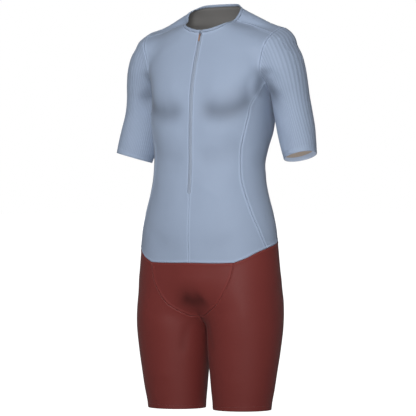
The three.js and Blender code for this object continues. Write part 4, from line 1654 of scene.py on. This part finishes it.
@dataclass
class Stitcher:
    """Lays rows of small stitches along lines on the cloth."""

    pitch: float = 2.6
    length: float = 1.8
    radius: float = 0.2
    waist: float = 0.28
    proud: float = 1.3
    hull: tuple[tuple[int, int, int], ...] = (
        (0, 3, 2), (0, 4, 3), (1, 5, 6), (1, 6, 7), (2, 3, 6), (2, 6, 5),
        (3, 4, 7), (3, 7, 6), (0, 2, 4), (1, 7, 5), (2, 5, 7), (2, 7, 4),
    )
    vertices: list[Array] = field(default_factory=list)
    faces: list[Array] = field(default_factory=list)
    count: int = 0

    def row(self, line: Array, out: Array) -> None:
        """Adds one row of stitches.

        Args:
            line: Points along the cloth's surface.
            out: The direction out of the cloth at each.
        """
        reach = distance_along(line)
        number = int(reach[-1] / self.pitch)
        if number < 1:
            return
        middle = (np.arange(number) + 0.5) * reach[-1] / number
        a, b = (read_along(middle + half, reach, line) for half in (-self.length / 2, self.length / 2))
        up = unit(read_along(middle, reach, out))
        along = unit(b - a)
        side = np.cross(along, up)
        corners = [a, b]
        for shift in (-self.waist, self.waist):
            spot = (a + b) / 2 + along * (self.length * shift)
            corners += [spot + side * self.radius, spot + up * self.radius * self.proud,
                        spot - side * self.radius]
        starts = self.count + np.arange(number) * len(corners)
        self.vertices.append(np.stack(corners, axis=1).reshape(-1, 3))
        self.faces.append((starts[:, None, None] + np.array(self.hull)[None]).reshape(-1, 3))
        self.count += number * len(corners)

    def build(self, name: str) -> bpy.types.Object:
        """Makes one object of all the rows."""
        faces = np.concatenate(self.faces).tolist()
        return mesh_object(name, np.concatenate(self.vertices), faces)


@dataclass
class Workshop:
    """What every sub-assembly works with."""

    figure: Figure
    pattern: Pattern
    wardrobe: Wardrobe
    body_thread: Stitcher = field(default_factory=Stitcher)
    leg_thread: Stitcher = field(default_factory=Stitcher)

    def publish(self, made: bpy.types.Object, finishes: tuple[str, ...], slot: str, *nodes: str) -> None:
        """Dresses a piece and hands it to the frame.

        Args:
            made: The piece.
            finishes: Its finishes, in slot order.
            slot: Name of a material slot in the frame; not used.
            *nodes: The CAD nodes that it stands for.
        """
        self.wardrobe.dress(made, *finishes)
        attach(made, "garment")
        if nodes:
            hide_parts(*nodes)
        log.info("%s: %d faces", made.name, len(made.data.polygons))

    def cloth(self, node: str, sheet: Sheet, finishes: tuple[str, ...], slot: str, *rests_on: str) -> None:
        """Makes and dresses one piece of cloth.

        Args:
            node: The CAD node that it stands for.
            sheet: The cloth.
            finishes: Finishes of its outside and its reverse.
            slot: Name of a material slot in the frame; not used.
            *rests_on: What it rests on; not used.
        """
        made = cloth_object(f"{node}_cloth", sheet)
        self.publish(made, finishes, slot, node)
        width, length, area = cut_size(sheet)
        log.info("%s: cut %.3f by %.3f m, %.4f square metres", made.name, width, length, area)

    def strip(self, name: str, rings: Array, finish: str, slot: str, node: str, width: float,
              line: Array, rests_on: list[str]) -> None:
        """Makes and dresses a long narrow piece with a section of its own.

        Args:
            name: Name of the piece.
            rings: Its section at each step along it.
            finish: Its finish.
            slot: Name of a material slot in the frame; not used.
            node: The CAD node that it stands for.
            width: Width of its cut, in metres; not used.
            line: The line that it follows, in millimetres.
            rests_on: What it rests on; not used.
        """
        made = lofted(name, rings)
        facing_out(made)
        self.publish(made, (finish,), slot, node)
        length = float(distance_along(line)[-1] * METRES)

    @staticmethod
    def stitch_rows(thread: Stitcher, sheet: Sheet, edges: dict[str, EdgeKind]) -> None:
        """Runs stitches along a sheet's seamed edges.

        Args:
            thread: Where the stitches are collected.
            sheet: The sheet that they lie on.
            edges: The kind of each edge.
        """
        outer, out = sheet.outer(), sheet.samples.out
        picks = {"top": np.s_[SEAM_STITCH_LINE], "bottom": np.s_[-1 - SEAM_STITCH_LINE],
                 "left": np.s_[:, SEAM_STITCH_LINE], "right": np.s_[:, -1 - SEAM_STITCH_LINE]}
        for name, kind in edges.items():
            if kind is EdgeKind.SEAM:
                pick = picks[name]
                thread.row(outer[pick] + out[pick] * SEAM_STITCH_RISE, out[pick])

    @staticmethod
    def stitch_hem(thread: Stitcher, sheet: Sheet) -> None:
        """Runs a row of stitches round a closed sheet's turned hem.

        Args:
            thread: Where the stitches are collected.
            sheet: The sheet.
        """
        low = edge_distance(sheet.samples.at, 0, False).mean(1)
        row = int(np.argmin(np.abs(low - HEM.stitch_at)))
        line, out = (np.concatenate([part[row], part[row, :1]])
                     for part in (sheet.outer(), sheet.samples.out))
        thread.row(line + out * HEM_STITCH_RISE, out)


def cut_size(sheet: Sheet) -> tuple[float, float, float]:
    """Width, length and area of a sheet's flat cut, in metres and square metres.

    Args:
        sheet: The sheet.

    Returns:
        Width, length and area.
    """
    at = sheet.samples.at * METRES
    if sheet.closed:
        at = np.concatenate([at, at[:, :1]], axis=1)
    a, b, c, d = at[:-1, :-1], at[:-1, 1:], at[1:, 1:], at[1:, :-1]
    area = 0.5 * np.linalg.norm(np.cross(c - a, d - b), axis=-1).sum()
    width = distance_along(at.swapaxes(0, 1))[-1].max()
    return float(width), float(distance_along(at)[-1].max()), float(area)


ALL_SEAMS = dict.fromkeys(("top", "bottom", "left", "right"), EdgeKind.SEAM)
TUBE_EDGES = {"top": EdgeKind.SEAM, "bottom": EdgeKind.HEM}


@dataclass
class BodyPanels:
    """Fronts, sides and back in body cloth."""

    shop: Workshop
    fineness: int = 5

    def front(self) -> Samples:
        """The left front.

        Returns:
            Its grid.
        """
        p = self.shop.pattern

        def edges(fine: int) -> tuple[Samples, ...]:
            """Top, bottom, left and right edges.

            Args:
                fine: Parts for each coarse segment.

            Returns:
                The four edges.
            """
            top = chained([p.neck_front.samples(fine), p.shoulder.samples(fine)])
            bottom = chained([p.waist_front_middle.samples(fine), p.waist_front.samples(fine)])
            zip_line, below = p.zip_line.samples(fine), p.front_middle.samples(fine)
            jump = np.linspace(0.0, 1.0, fine + 1)[1:-1, None]
            between = zip_line[-1:].at * (1 - jump) + below[:1].at * jump
            step = settle(self.shop.figure.body, between, 2) if fine > 1 else Samples(between, between)
            left = joined([zip_line, step, below])
            right = chained([backwards(p.arm_front.samples(fine)), p.princess.samples(fine)])
            return top, bottom, left, right

        return fine_panel(self.shop.figure.body, edges, self.fineness)

    def side(self) -> Samples:
        """The left side panel.

        Returns:
            Its grid.
        """
        p = self.shop.pattern
        return fine_panel(self.shop.figure.body, lambda fine: (
            backwards(p.underarm.samples(fine)), p.waist_side.samples(fine),
            p.princess.samples(fine), p.back_side.samples(fine)), self.fineness)

    def back(self) -> Samples:
        """The back, in one piece from its left half.

        Returns:
            Its grid.
        """
        p = self.shop.pattern
        half = fine_panel(self.shop.figure.body, lambda fine: (
            chained([backwards(p.shoulder.samples(fine)), p.neck_back.samples(fine)]),
            p.waist_back.samples(fine),
            chained([p.arm_back.samples(fine), p.back_side.samples(fine)]),
            p.back_middle.samples(fine)), self.fineness)
        return joined([half, half.mirrored()[:, 1:]], axis=1)

    def build(self) -> None:
        """Builds and dresses the five panels."""
        front, side_panel = self.front(), self.side()
        for side in Side:
            for kind, grid, folds, left in (("front", front, FRONT_FOLDS, EdgeKind.ZIP),
                                            ("side", side_panel, SIDE_FOLDS, EdgeKind.SEAM)):
                edges = swapped({**ALL_SEAMS, "left": left}, side)
                self.finish(f"{kind}_{side.value}", on_side(grid, side), edges, folds + SHARED_FOLDS)
        self.finish("back", self.back(), ALL_SEAMS, BACK_FOLDS)

    def finish(self, node: str, grid: Samples, edges: dict[str, EdgeKind], folds: list[Fold]) -> None:
        """Makes, dresses and stitches one panel.

        Args:
            node: The CAD node that it stands for.
            grid: The plain panel.
            edges: The kind of each edge.
            folds: Creases to lay in it.
        """
        sheet = finished(grid, self.shop.figure.body, edges, folds)
        self.shop.cloth(node, sheet, ("body_knit", "reverse_knit"), "body_cloth", "neck_binding")
        self.shop.stitch_rows(self.shop.body_thread, sheet, edges)


@dataclass
class Sleeves:
    """Ribbed sleeves and the turned hems inside their cuffs."""

    shop: Workshop
    length: float = 272.0
    slant: float = 0.13
    rows: int = 12
    fineness: tuple[int, int] = (4, 12)
    ribs_per_column: int = 2
    rib_height: float = 0.7
    rib_power: float = 0.7
    # painted shade in the grooves between the ribs
    rib_groove_painted_shade: float = 0.75
    hem_ribs: float = 0.35
    hem_width: float = 11.0
    hem_start: float = 3.0
    hem_depth: float = 1.45
    hem_wall: float = 0.75
    hem_roll: float = 0.25
    hem_roll_width: float = 1.5

    def plane(self) -> Plane:
        """The plane of the cuff.

        Returns:
            The plane, at the arm's end.
        """
        figure = self.shop.figure
        end = figure.arm_table.at(np.array(self.length))
        middle = figure.from_arm_frame(self.length, end["side"], end["middle"])
        lean = figure.arm_lean
        return Plane(unit(np.array([math.sin(lean), -self.slant, -math.cos(lean)])), middle)

    def ring(self, fine: int) -> Samples:
        """The armhole seam all round, its last sample left out."""
        p = self.shop.pattern
        return chained([p.arm_front.samples(fine), p.arm_back.samples(fine), p.underarm.samples(fine)])[:-1]

    def grid(self) -> Samples:
        """The plain sleeve.

        Returns:
            Its grid, closed round its columns.
        """
        figure = self.shop.figure
        end = figure.arm_table.at(np.array(self.length))
        _, side, fore = figure.arm_frame(self.ring(1).at)

        def start(bearing: Array) -> Array:
            """Points round the arm's end."""
            return figure.from_arm_frame(self.length, end["side"] + end["half"] * np.cos(bearing),
                                         end["middle"] + end["half"] * np.sin(bearing))

        plane = self.plane()
        edge = open_edge(figure.sleeve, plane, np.arctan2(fore, side), start)
        return fine_tube(figure.sleeve, self.ring, edge, plane, self.rows, self.fineness)

    def ribs(self, sheet: Sheet) -> None:
        """Raises the ribs on a sleeve's outside and paints shade in the grooves between them.

        Args:
            sheet: The sleeve, changed in place.
        """
        turn = TURN * self.ribs_per_column * np.arange(sheet.lift.shape[1]) / self.fineness[1]
        wave = (0.5 - 0.5 * np.cos(turn)) ** self.rib_power
        top, low = (edge_distance(sheet.samples.at, 0, first) for first in (True, False))
        above_hem = ease(low, HEM.width - 2.0, HEM.width + 3.0)
        fade = ease(top, 1.0, 7.0) * (self.hem_ribs + (1.0 - self.hem_ribs) * above_hem)
        sheet.relief = self.rib_height * wave[None] * fade
        # Painted shade: darker in the grooves between the ribs
        sheet.tone = sheet.tone - self.rib_groove_painted_shade * (1.0 - wave[None]) * fade

    def build(self) -> None:
        """Builds and dresses both sleeves and their hems."""
        grid = self.grid()
        for side in Side:
            sheet = finished(on_side(grid, side), self.shop.figure.sleeve, TUBE_EDGES,
                             SLEEVE_FOLDS + SHARED_FOLDS, closed=True)
            self.ribs(sheet)
            self.shop.cloth(f"sleeve_{side.value}", sheet, ("rib_knit", "rib_reverse_knit"), "rib_cloth",
                            f"front_{side.value}", "back")
            self.shop.stitch_rows(self.shop.body_thread, sheet, TUBE_EDGES)
            self.hem(sheet, side)

    def hem(self, sheet: Sheet, side: Side) -> None:
        """The turned band inside one cuff and its stitches.

        Args:
            sheet: The sleeve.
            side: The wearer's side.
        """
        low = edge_distance(sheet.samples.at, 0, False).mean(1)
        first = np.flatnonzero(low < self.hem_width + self.hem_start)[0]
        part = sheet.samples[first:]
        edge = edge_distance(part.at, 0, True)
        folded = Samples(part.sunk(self.hem_depth - sheet.lift[first:]), part.out)
        lift = -self.hem_roll * np.exp(-((edge / self.hem_roll_width) ** 2))
        band = Sheet(folded, lift, np.zeros_like(edge), True, wall=self.hem_wall)
        self.shop.cloth(f"cuff_hem_{side.value}", band, ("hem_knit", "hem_knit"), "hem_cloth",
                        f"sleeve_{side.value}_cloth")
        self.shop.stitch_hem(self.shop.body_thread, sheet)


@dataclass
class Legs:
    """Legs and the front gusset in leg cloth."""

    shop: Workshop
    rows: int = 12
    fineness: tuple[int, int] = (6, 5)
    gusset_fineness: int = 5

    def ring(self, fine: int) -> Samples:
        """The waist, crotch and gusset seams round one leg, its last sample left out.

        Args:
            fine: Parts for each coarse segment.

        Returns:
            The seams as one line.
        """
        p = self.shop.pattern
        return chained([p.gusset_edge.samples(fine), p.waist_front.samples(fine), p.waist_side.samples(fine),
                        p.waist_back.samples(fine), p.crotch.samples(fine)])[:-1]

    def grid(self) -> Samples:
        """The plain leg.

        Returns:
            Its grid, closed round its columns.
        """
        figure = self.shop.figure
        end = figure.leg_table.at(np.array(HEM_Z))
        ring = self.ring(1).at
        bearings = np.arctan2(ring[:, 1] - end["middle"], ring[:, 0] - end["side"])

        def start(bearing: Array) -> Array:
            """Points round the leg's end.

            Args:
                bearing: Bearings round the leg's axis.

            Returns:
                The points.
            """
            x = end["side"] + end["half"] * np.cos(bearing)
            y = end["middle"] + end["half"] * np.sin(bearing)
            return np.stack([x, y, np.full_like(x, HEM_Z)], axis=-1)

        plane = Plane(np.array([0.0, 0.0, -1.0]), np.array([0.0, 0.0, HEM_Z]))
        edge = open_edge(figure.body, plane, bearings, start)
        return fine_tube(figure.body, self.ring, edge, plane, self.rows, self.fineness)

    def gusset(self) -> Samples:
        """The front gusset, whole.

        Returns:
            Its grid.
        """
        p = self.shop.pattern
        tip = p.crotch_front

        def edges(fine: int) -> tuple[Samples, ...]:
            """Top, bottom, left and right edges.

            Args:
                fine: Parts for each coarse segment.

            Returns:
                The four edges.
            """
            top = p.waist_front_middle.samples(fine)
            count = len(top.at)
            bottom = Samples(np.repeat(tip.at, count, 0), np.repeat(tip.out, count, 0))
            return top, bottom, p.gusset_middle.samples(fine), backwards(p.gusset_edge.samples(fine))

        half = fine_panel(self.shop.figure.body, edges, self.gusset_fineness)
        return joined([half.mirrored(), half[:, 1:]], axis=1)

    def build(self) -> None:
        """Builds and dresses the legs and the gusset."""
        body, finishes = self.shop.figure.body, ("leg_knit", "leg_reverse_knit")
        grid = self.grid()
        for side in Side:
            sheet = finished(on_side(grid, side), body, TUBE_EDGES, LEG_FOLDS, closed=True)
            self.shop.cloth(f"leg_{side.value}", sheet, finishes, "leg_cloth", f"front_{side.value}", "back")
            self.shop.stitch_rows(self.shop.leg_thread, sheet, TUBE_EDGES)
            self.shop.stitch_hem(self.shop.leg_thread, sheet)
        edges = {name: EdgeKind.SEAM for name in ("top", "left", "right")}
        sheet = finished(self.gusset(), body, edges, GUSSET_FOLDS, settle_again=False)
        self.shop.cloth("gusset", sheet, finishes, "leg_cloth", "leg_left", "leg_right")


def lofted(name: str, rings: Array) -> bpy.types.Object:
    """A closed solid through equal rings of points.

    Args:
        name: Name of the object.
        rings: Points, rings by corners.

    Returns:
        The object.
    """
    count, corners = rings.shape[:2]
    faces = grid_quads(count, corners, True)[:, [0, 3, 2, 1]].tolist()
    faces.append(list(range(corners - 1, -1, -1)))
    faces.append(list(range((count - 1) * corners, count * corners)))
    along = distance_along(rings).mean(1) * METRES
    across = distance_along(rings.swapaxes(0, 1)).mean(1) * METRES
    uv = np.stack(np.meshgrid(across, along), axis=-1).reshape(-1, 2)
    return mesh_object(name, rings.reshape(-1, 3), faces, uv=uv)


def facing_out(made: bpy.types.Object) -> None:
    """Turns the faces of a closed solid outwards.

    Args:
        made: The object, changed in place.
    """
    work = bmesh.new()
    work.from_mesh(made.data)
    bmesh.ops.recalc_face_normals(work, faces=work.faces)
    work.to_mesh(made.data)
    work.free()


@dataclass
class NeckBinding:
    """The folded binding round the neck, from one side of the zip to the other."""

    shop: Workshop
    section: tuple[tuple[float, float], ...] = (
        (0.35, 0.1), (0.75, 0.9), (0.95, 2.4), (0.9, 4.2), (0.55, 5.6), (-0.1, 6.3), (-0.9, 6.3),
        (-1.5, 5.6), (-1.75, 4.2), (-1.75, 2.4), (-1.7, 0.1), (-1.2, 0.1), (-1.2, 2.4), (-1.2, 4.2),
        (-0.95, 5.3), (-0.5, 5.7), (-0.1, 5.4), (0.3, 4.2), (0.35, 2.4), (0.2, 1.0), (-0.1, 0.1),
    )
    fineness: int = 8
    step: float = 2.0
    eased: int = 22
    up_eased: int = 6
    cut_width: float = 0.0165
    stitches: tuple[float, float] = (1.0, 2.2)

    def line(self) -> Samples:
        """The neck seam from the left of the zip round to the right, its turns eased.

        Returns:
            The eased line.
        """
        p = self.shop.pattern
        half = chained([p.neck_front.samples(self.fineness), p.neck_back.samples(self.fineness)])
        other = Samples(half.at[::-1] * MIRROR, half.out[::-1] * MIRROR)
        whole = joined([half, other[1:]])
        reach = distance_along(whole.at)
        even = np.linspace(0.0, reach[-1], round(reach[-1] / self.step) + 1)
        at, out = read_along(even, reach, whole.at), read_along(even, reach, whole.out)
        for _ in range(self.eased):
            for way in (at, out):
                way[1:-1] = (way[:-2] + way[1:-1] * 2 + way[2:]) / 4
        return Samples(at, unit(out))

    def build(self) -> None:
        """Builds and dresses the binding and its stitches."""
        line = self.line()
        ahead = np.concatenate([line.at[1:], line.at[-1:]]) - np.concatenate([line.at[:1], line.at[:-1]])
        up = unit(np.cross(line.out, unit(ahead)))
        for _ in range(self.up_eased):
            up[1:-1] = unit(up[:-2] + up[1:-1] * 2 + up[2:])
        section = np.array(self.section)[None]
        rings = line.at[:, None] + line.out[:, None] * section[..., :1] + up[:, None] * section[..., 1:]
        self.shop.strip("neck_binding_cloth", rings, "binding_knit", "binding_cloth", "neck_binding",
                        self.cut_width, line.at, ["front_left", "front_right", "back"])
        proud, above = self.stitches
        self.shop.body_thread.row(line.at + line.out * proud + up * above, line.out)


@dataclass
class Zip:
    """The zip: two tapes that meet over the coil, with the coil behind them."""

    shop: Workshop
    coil_half: float = 1.5
    coil_pitch: float = 1.5
    coil_depth: float = 1.5
    above: float = 5.6
    below: float = 7.0
    tucked: float = 1.6
    fineness: int = 8
    tape_width: float = 0.0145
    falls: tuple[float, float] = (0.04, 0.012)
    bar: tuple[tuple[float, float], ...] = ((1.0, 0.75), (0.5, 1.0), (-0.3, 1.05), (-0.75, 0.7))
    bar_radii: tuple[float, float] = (0.5, 0.42)
    bar_sides: tuple[tuple[float, float], ...] = tuple(
        (math.cos(TURN * k / 6), math.sin(TURN * k / 6)) for k in range(6))
    section: tuple[tuple[float, float], ...] = (
        (13.0, 3.2), (13.0, 2.5), (6.0, 2.1), (4.6, 1.5), (4.15, 0.75), (3.5, 0.35), (2.6, 0.2),
        (1.95, -0.15), (1.3, -0.4), (0.6, -0.32), (0.16, 0.1), (0.16, 0.8), (1.8, 0.95), (3.6, 1.3),
        (4.6, 2.4), (6.0, 3.0),
    )

    def line(self) -> Samples:
        """The zip's edge on the wearer's left, carried on up to the neck and in under the slit's end.

        Returns:
            The line, from top to end.
        """
        line = self.shop.pattern.zip_line.samples(self.fineness)
        up, down = unit(line.at[:1] - line.at[2:3]), unit(line.at[-1:] - line.at[-3:-2])
        first, last = line.out[:1], line.out[-1:]
        top = [Samples(line.at[:1] + up * reach, first) for reach in (self.above, self.above / 2)]
        end = [Samples(line.at[-1:] + down * self.below * part - last * self.tucked * (part > 0.5), last)
               for part in (0.3, 1.0)]
        return joined([*top, line, *end])

    def tape_rings(self, line: Samples, sign: float) -> Array:
        """Rings of one tape, from its hidden selvedge to the coil.

        Args:
            line: The zip's line.
            sign: 1 for the wearer's left and -1 for the right.

        Returns:
            Points, rings by corners.
        """
        rings = []
        for across, deep in self.section:
            at = line.at - line.out * deep
            at[:, 0] = sign * across
            behind = max(across - ZIP_EDGE, 0.0)
            at[:, 1] += self.falls[0] * behind + self.falls[1] * behind**2
            rings.append(at)
        return np.stack(rings, axis=1)

    def build(self) -> None:
        """Builds and dresses the tapes and the coil."""
        line = self.line()
        for side, sign in ((Side.LEFT, 1.0), (Side.RIGHT, -1.0)):
            self.shop.strip(f"zip_tape_{side.value}_cloth", self.tape_rings(line, sign),
                            "zip_tape_weave", "zip_tape", "zip_tape", self.tape_width, line.at,
                            [f"front_{side.value}"])
        self.coil(line)

    def coil(self, line: Samples) -> None:
        """The interlocking coil, one bar from each side in turn.

        Args:
            line: The zip's line.
        """
        reach = distance_along(line.at)
        number = int((reach[-1] - self.below) / self.coil_pitch)
        where = (np.arange(number) + 1) * self.coil_pitch
        in_plane = np.array([0.0, 1.0, 1.0])
        at = read_along(where, reach, line.at)
        out = unit(read_along(where, reach, line.out) * in_plane)
        down = unit(np.gradient(at, axis=0) * in_plane)
        sign = np.where(np.arange(number) % 2, 1.0, -1.0)
        sides = len(self.bar_sides)
        tall, deep = self.bar_radii
        rows = []
        for share, size in self.bar:
            middle = at - out * self.coil_depth
            middle[:, 0] = sign * self.coil_half * share
            rows.append(np.stack([middle + (down * (c * tall) + out * (s * deep)) * size
                                  for c, s in self.bar_sides], axis=1))
        bar = [list(range(sides - 1, -1, -1)), list(range((len(rows) - 1) * sides, len(rows) * sides))]
        bar += grid_quads(len(rows), sides, True)[:, [0, 3, 2, 1]].tolist()
        step = len(rows) * sides
        faces = [[n * step + k for k in face] for n in range(number) for face in bar]
        made = mesh_object("zip_coil", np.stack(rows, axis=1).reshape(-1, 3), faces)
        facing_out(made)
        self.shop.publish(made, ("zip_coil",), "zip_tape")


@dataclass
class Fittings:
    """The slider and pull, carried over from the CAD with their own finishes."""

    shop: Workshop
    frame: dict

    def build(self) -> None:
        """Dresses the two small pieces."""
        for node, finish in (("zip_slider", "slider_lacquer"), ("zip_pull", "pull_leather")):
            self.shop.wardrobe.dress(self.frame["nodes"][node], finish)
            log.info("%s: kept from the CAD", node)


@dataclass(frozen=True)
class Lamp:
    """A soft round area light that looks at the chest, in metres, watts and degrees."""

    name: str
    side: float
    away: float
    height: float
    size: float
    power: float
    spread: float = 180.0
    aim: float = -0.16


@dataclass(frozen=True)
class Studio:
    """Camera, floor and soft lights."""

    azimuth: float = math.radians(27.0)
    distance: float = 6.2
    height: float = -0.4895
    pixel: float = 0.00246
    off_centre: float = 1.7
    frame: int = 416
    sensor: float = 36.0
    floor: float = -1.55
    reach: float = 400.0
    floor_sides: int = 48
    far: float = 900.0
    ambient: float = 0.23
    white: float = 1.0
    lamps: tuple[Lamp, ...] = (
        Lamp("key", 17.0, 3.4, 0.5, 1.1, 11.2, 58.0),
        Lamp("low_fill", 40.0, 3.0, -1.35, 1.2, 11.0),
        Lamp("back_fill", 207.0, 3.6, 0.4, 1.6, 11.0, 64.0),
    )

    def camera(self) -> None:
        """Sets the camera at the photograph's viewing angle."""
        toward = Vector((math.sin(self.azimuth), -math.cos(self.azimuth), 0.0))
        right = Vector((math.cos(self.azimuth), math.sin(self.azimuth), 0.0))
        aim = Vector((0.0, 0.0, self.height)) - right * (self.off_centre * self.pixel)
        data = bpy.data.cameras.new("camera")
        data.sensor_width = self.sensor
        data.lens = self.sensor * self.distance / (self.frame * self.pixel)
        data.clip_end = self.far
        camera = bpy.data.objects.new("camera", data)
        camera.location = aim + toward * self.distance
        camera.rotation_euler = (aim - camera.location).to_track_quat("-Z", "Y").to_euler()
        bpy.context.scene.collection.objects.link(camera)
        bpy.context.scene.camera = camera

    def sweep(self, material: bpy.types.Material) -> None:
        """The floor, which gives the suit no light of its own.

        Args:
            material: The material of the floor.
        """
        turn = np.linspace(0, TURN, self.floor_sides, endpoint=False)
        level = np.full_like(turn, self.floor)
        edge = np.stack([self.reach * np.cos(turn), self.reach * np.sin(turn), level], axis=-1)
        made = mesh_object("studio_floor", edge / METRES, [range(self.floor_sides)])
        made.data.materials.append(material)
        made.visible_diffuse = made.visible_glossy = made.visible_shadow = False

    @staticmethod
    def light(lamp: Lamp) -> None:
        """Sets up one lamp.

        Args:
            lamp: The lamp.
        """
        data = bpy.data.lights.new(lamp.name, "AREA")
        data.shape, data.size, data.energy = "DISK", lamp.size, lamp.power
        data.spread = math.radians(lamp.spread)
        made = bpy.data.objects.new(lamp.name, data)
        turn = math.radians(lamp.side)
        made.location = Vector((lamp.away * math.sin(turn), -lamp.away * math.cos(turn), lamp.height))
        aim = Vector((0.0, 0.0, lamp.aim)) - made.location
        made.rotation_euler = aim.to_track_quat("-Z", "Y").to_euler()
        bpy.context.scene.collection.objects.link(made)

    def surround(self) -> None:
        """The white surround: bright behind the suit, dim in the light that it gives."""
        world = bpy.data.worlds.new("surround")
        shop = NodeShop(world)
        seen = shop.add("ShaderNodeLightPath", {}, {}, "Is Camera Ray")
        levels = {"Value": seen, "To Min": self.ambient, "To Max": self.white}
        strength = shop.add("ShaderNodeMapRange", {}, levels, "Result")
        light = {"Color": (1.0, 1.0, 1.0, 1.0), "Strength": strength}
        background = shop.add("ShaderNodeBackground", {}, light)
        shop.node("ShaderNodeOutputWorld", {}, {"Surface": background})
        bpy.context.scene.world = world

    def build(self, wardrobe: Wardrobe) -> None:
        """Sets up the whole studio.

        Args:
            wardrobe: Where the floor finds its material.
        """
        self.camera()
        self.sweep(wardrobe.made["studio_paper"])
        self.surround()
        bpy.context.scene.view_settings.view_transform = "Standard"
        for lamp in self.lamps:
            self.light(lamp)


def main() -> None:
    """Builds the looks of the suit in order."""
    logging.basicConfig(level=logging.INFO, format="%(name)s: %(message)s")
    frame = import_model()
    wardrobe = Wardrobe()
    wardrobe.build()
    figure = Figure()
    shop = Workshop(figure, Pattern(figure), wardrobe)
    Studio().build(wardrobe)
    for part in (BodyPanels(shop), Sleeves(shop), Legs(shop), NeckBinding(shop), Zip(shop),
                 Fittings(shop, frame)):
        part.build()
        log.info("%s done", type(part).__name__)
    for thread, name in ((shop.body_thread, "body"), (shop.leg_thread, "leg")):
        shop.publish(thread.build(f"{name}_stitches"), (f"{name}_thread",), f"{name}_cloth")


if __name__ == "__main__":
    main()
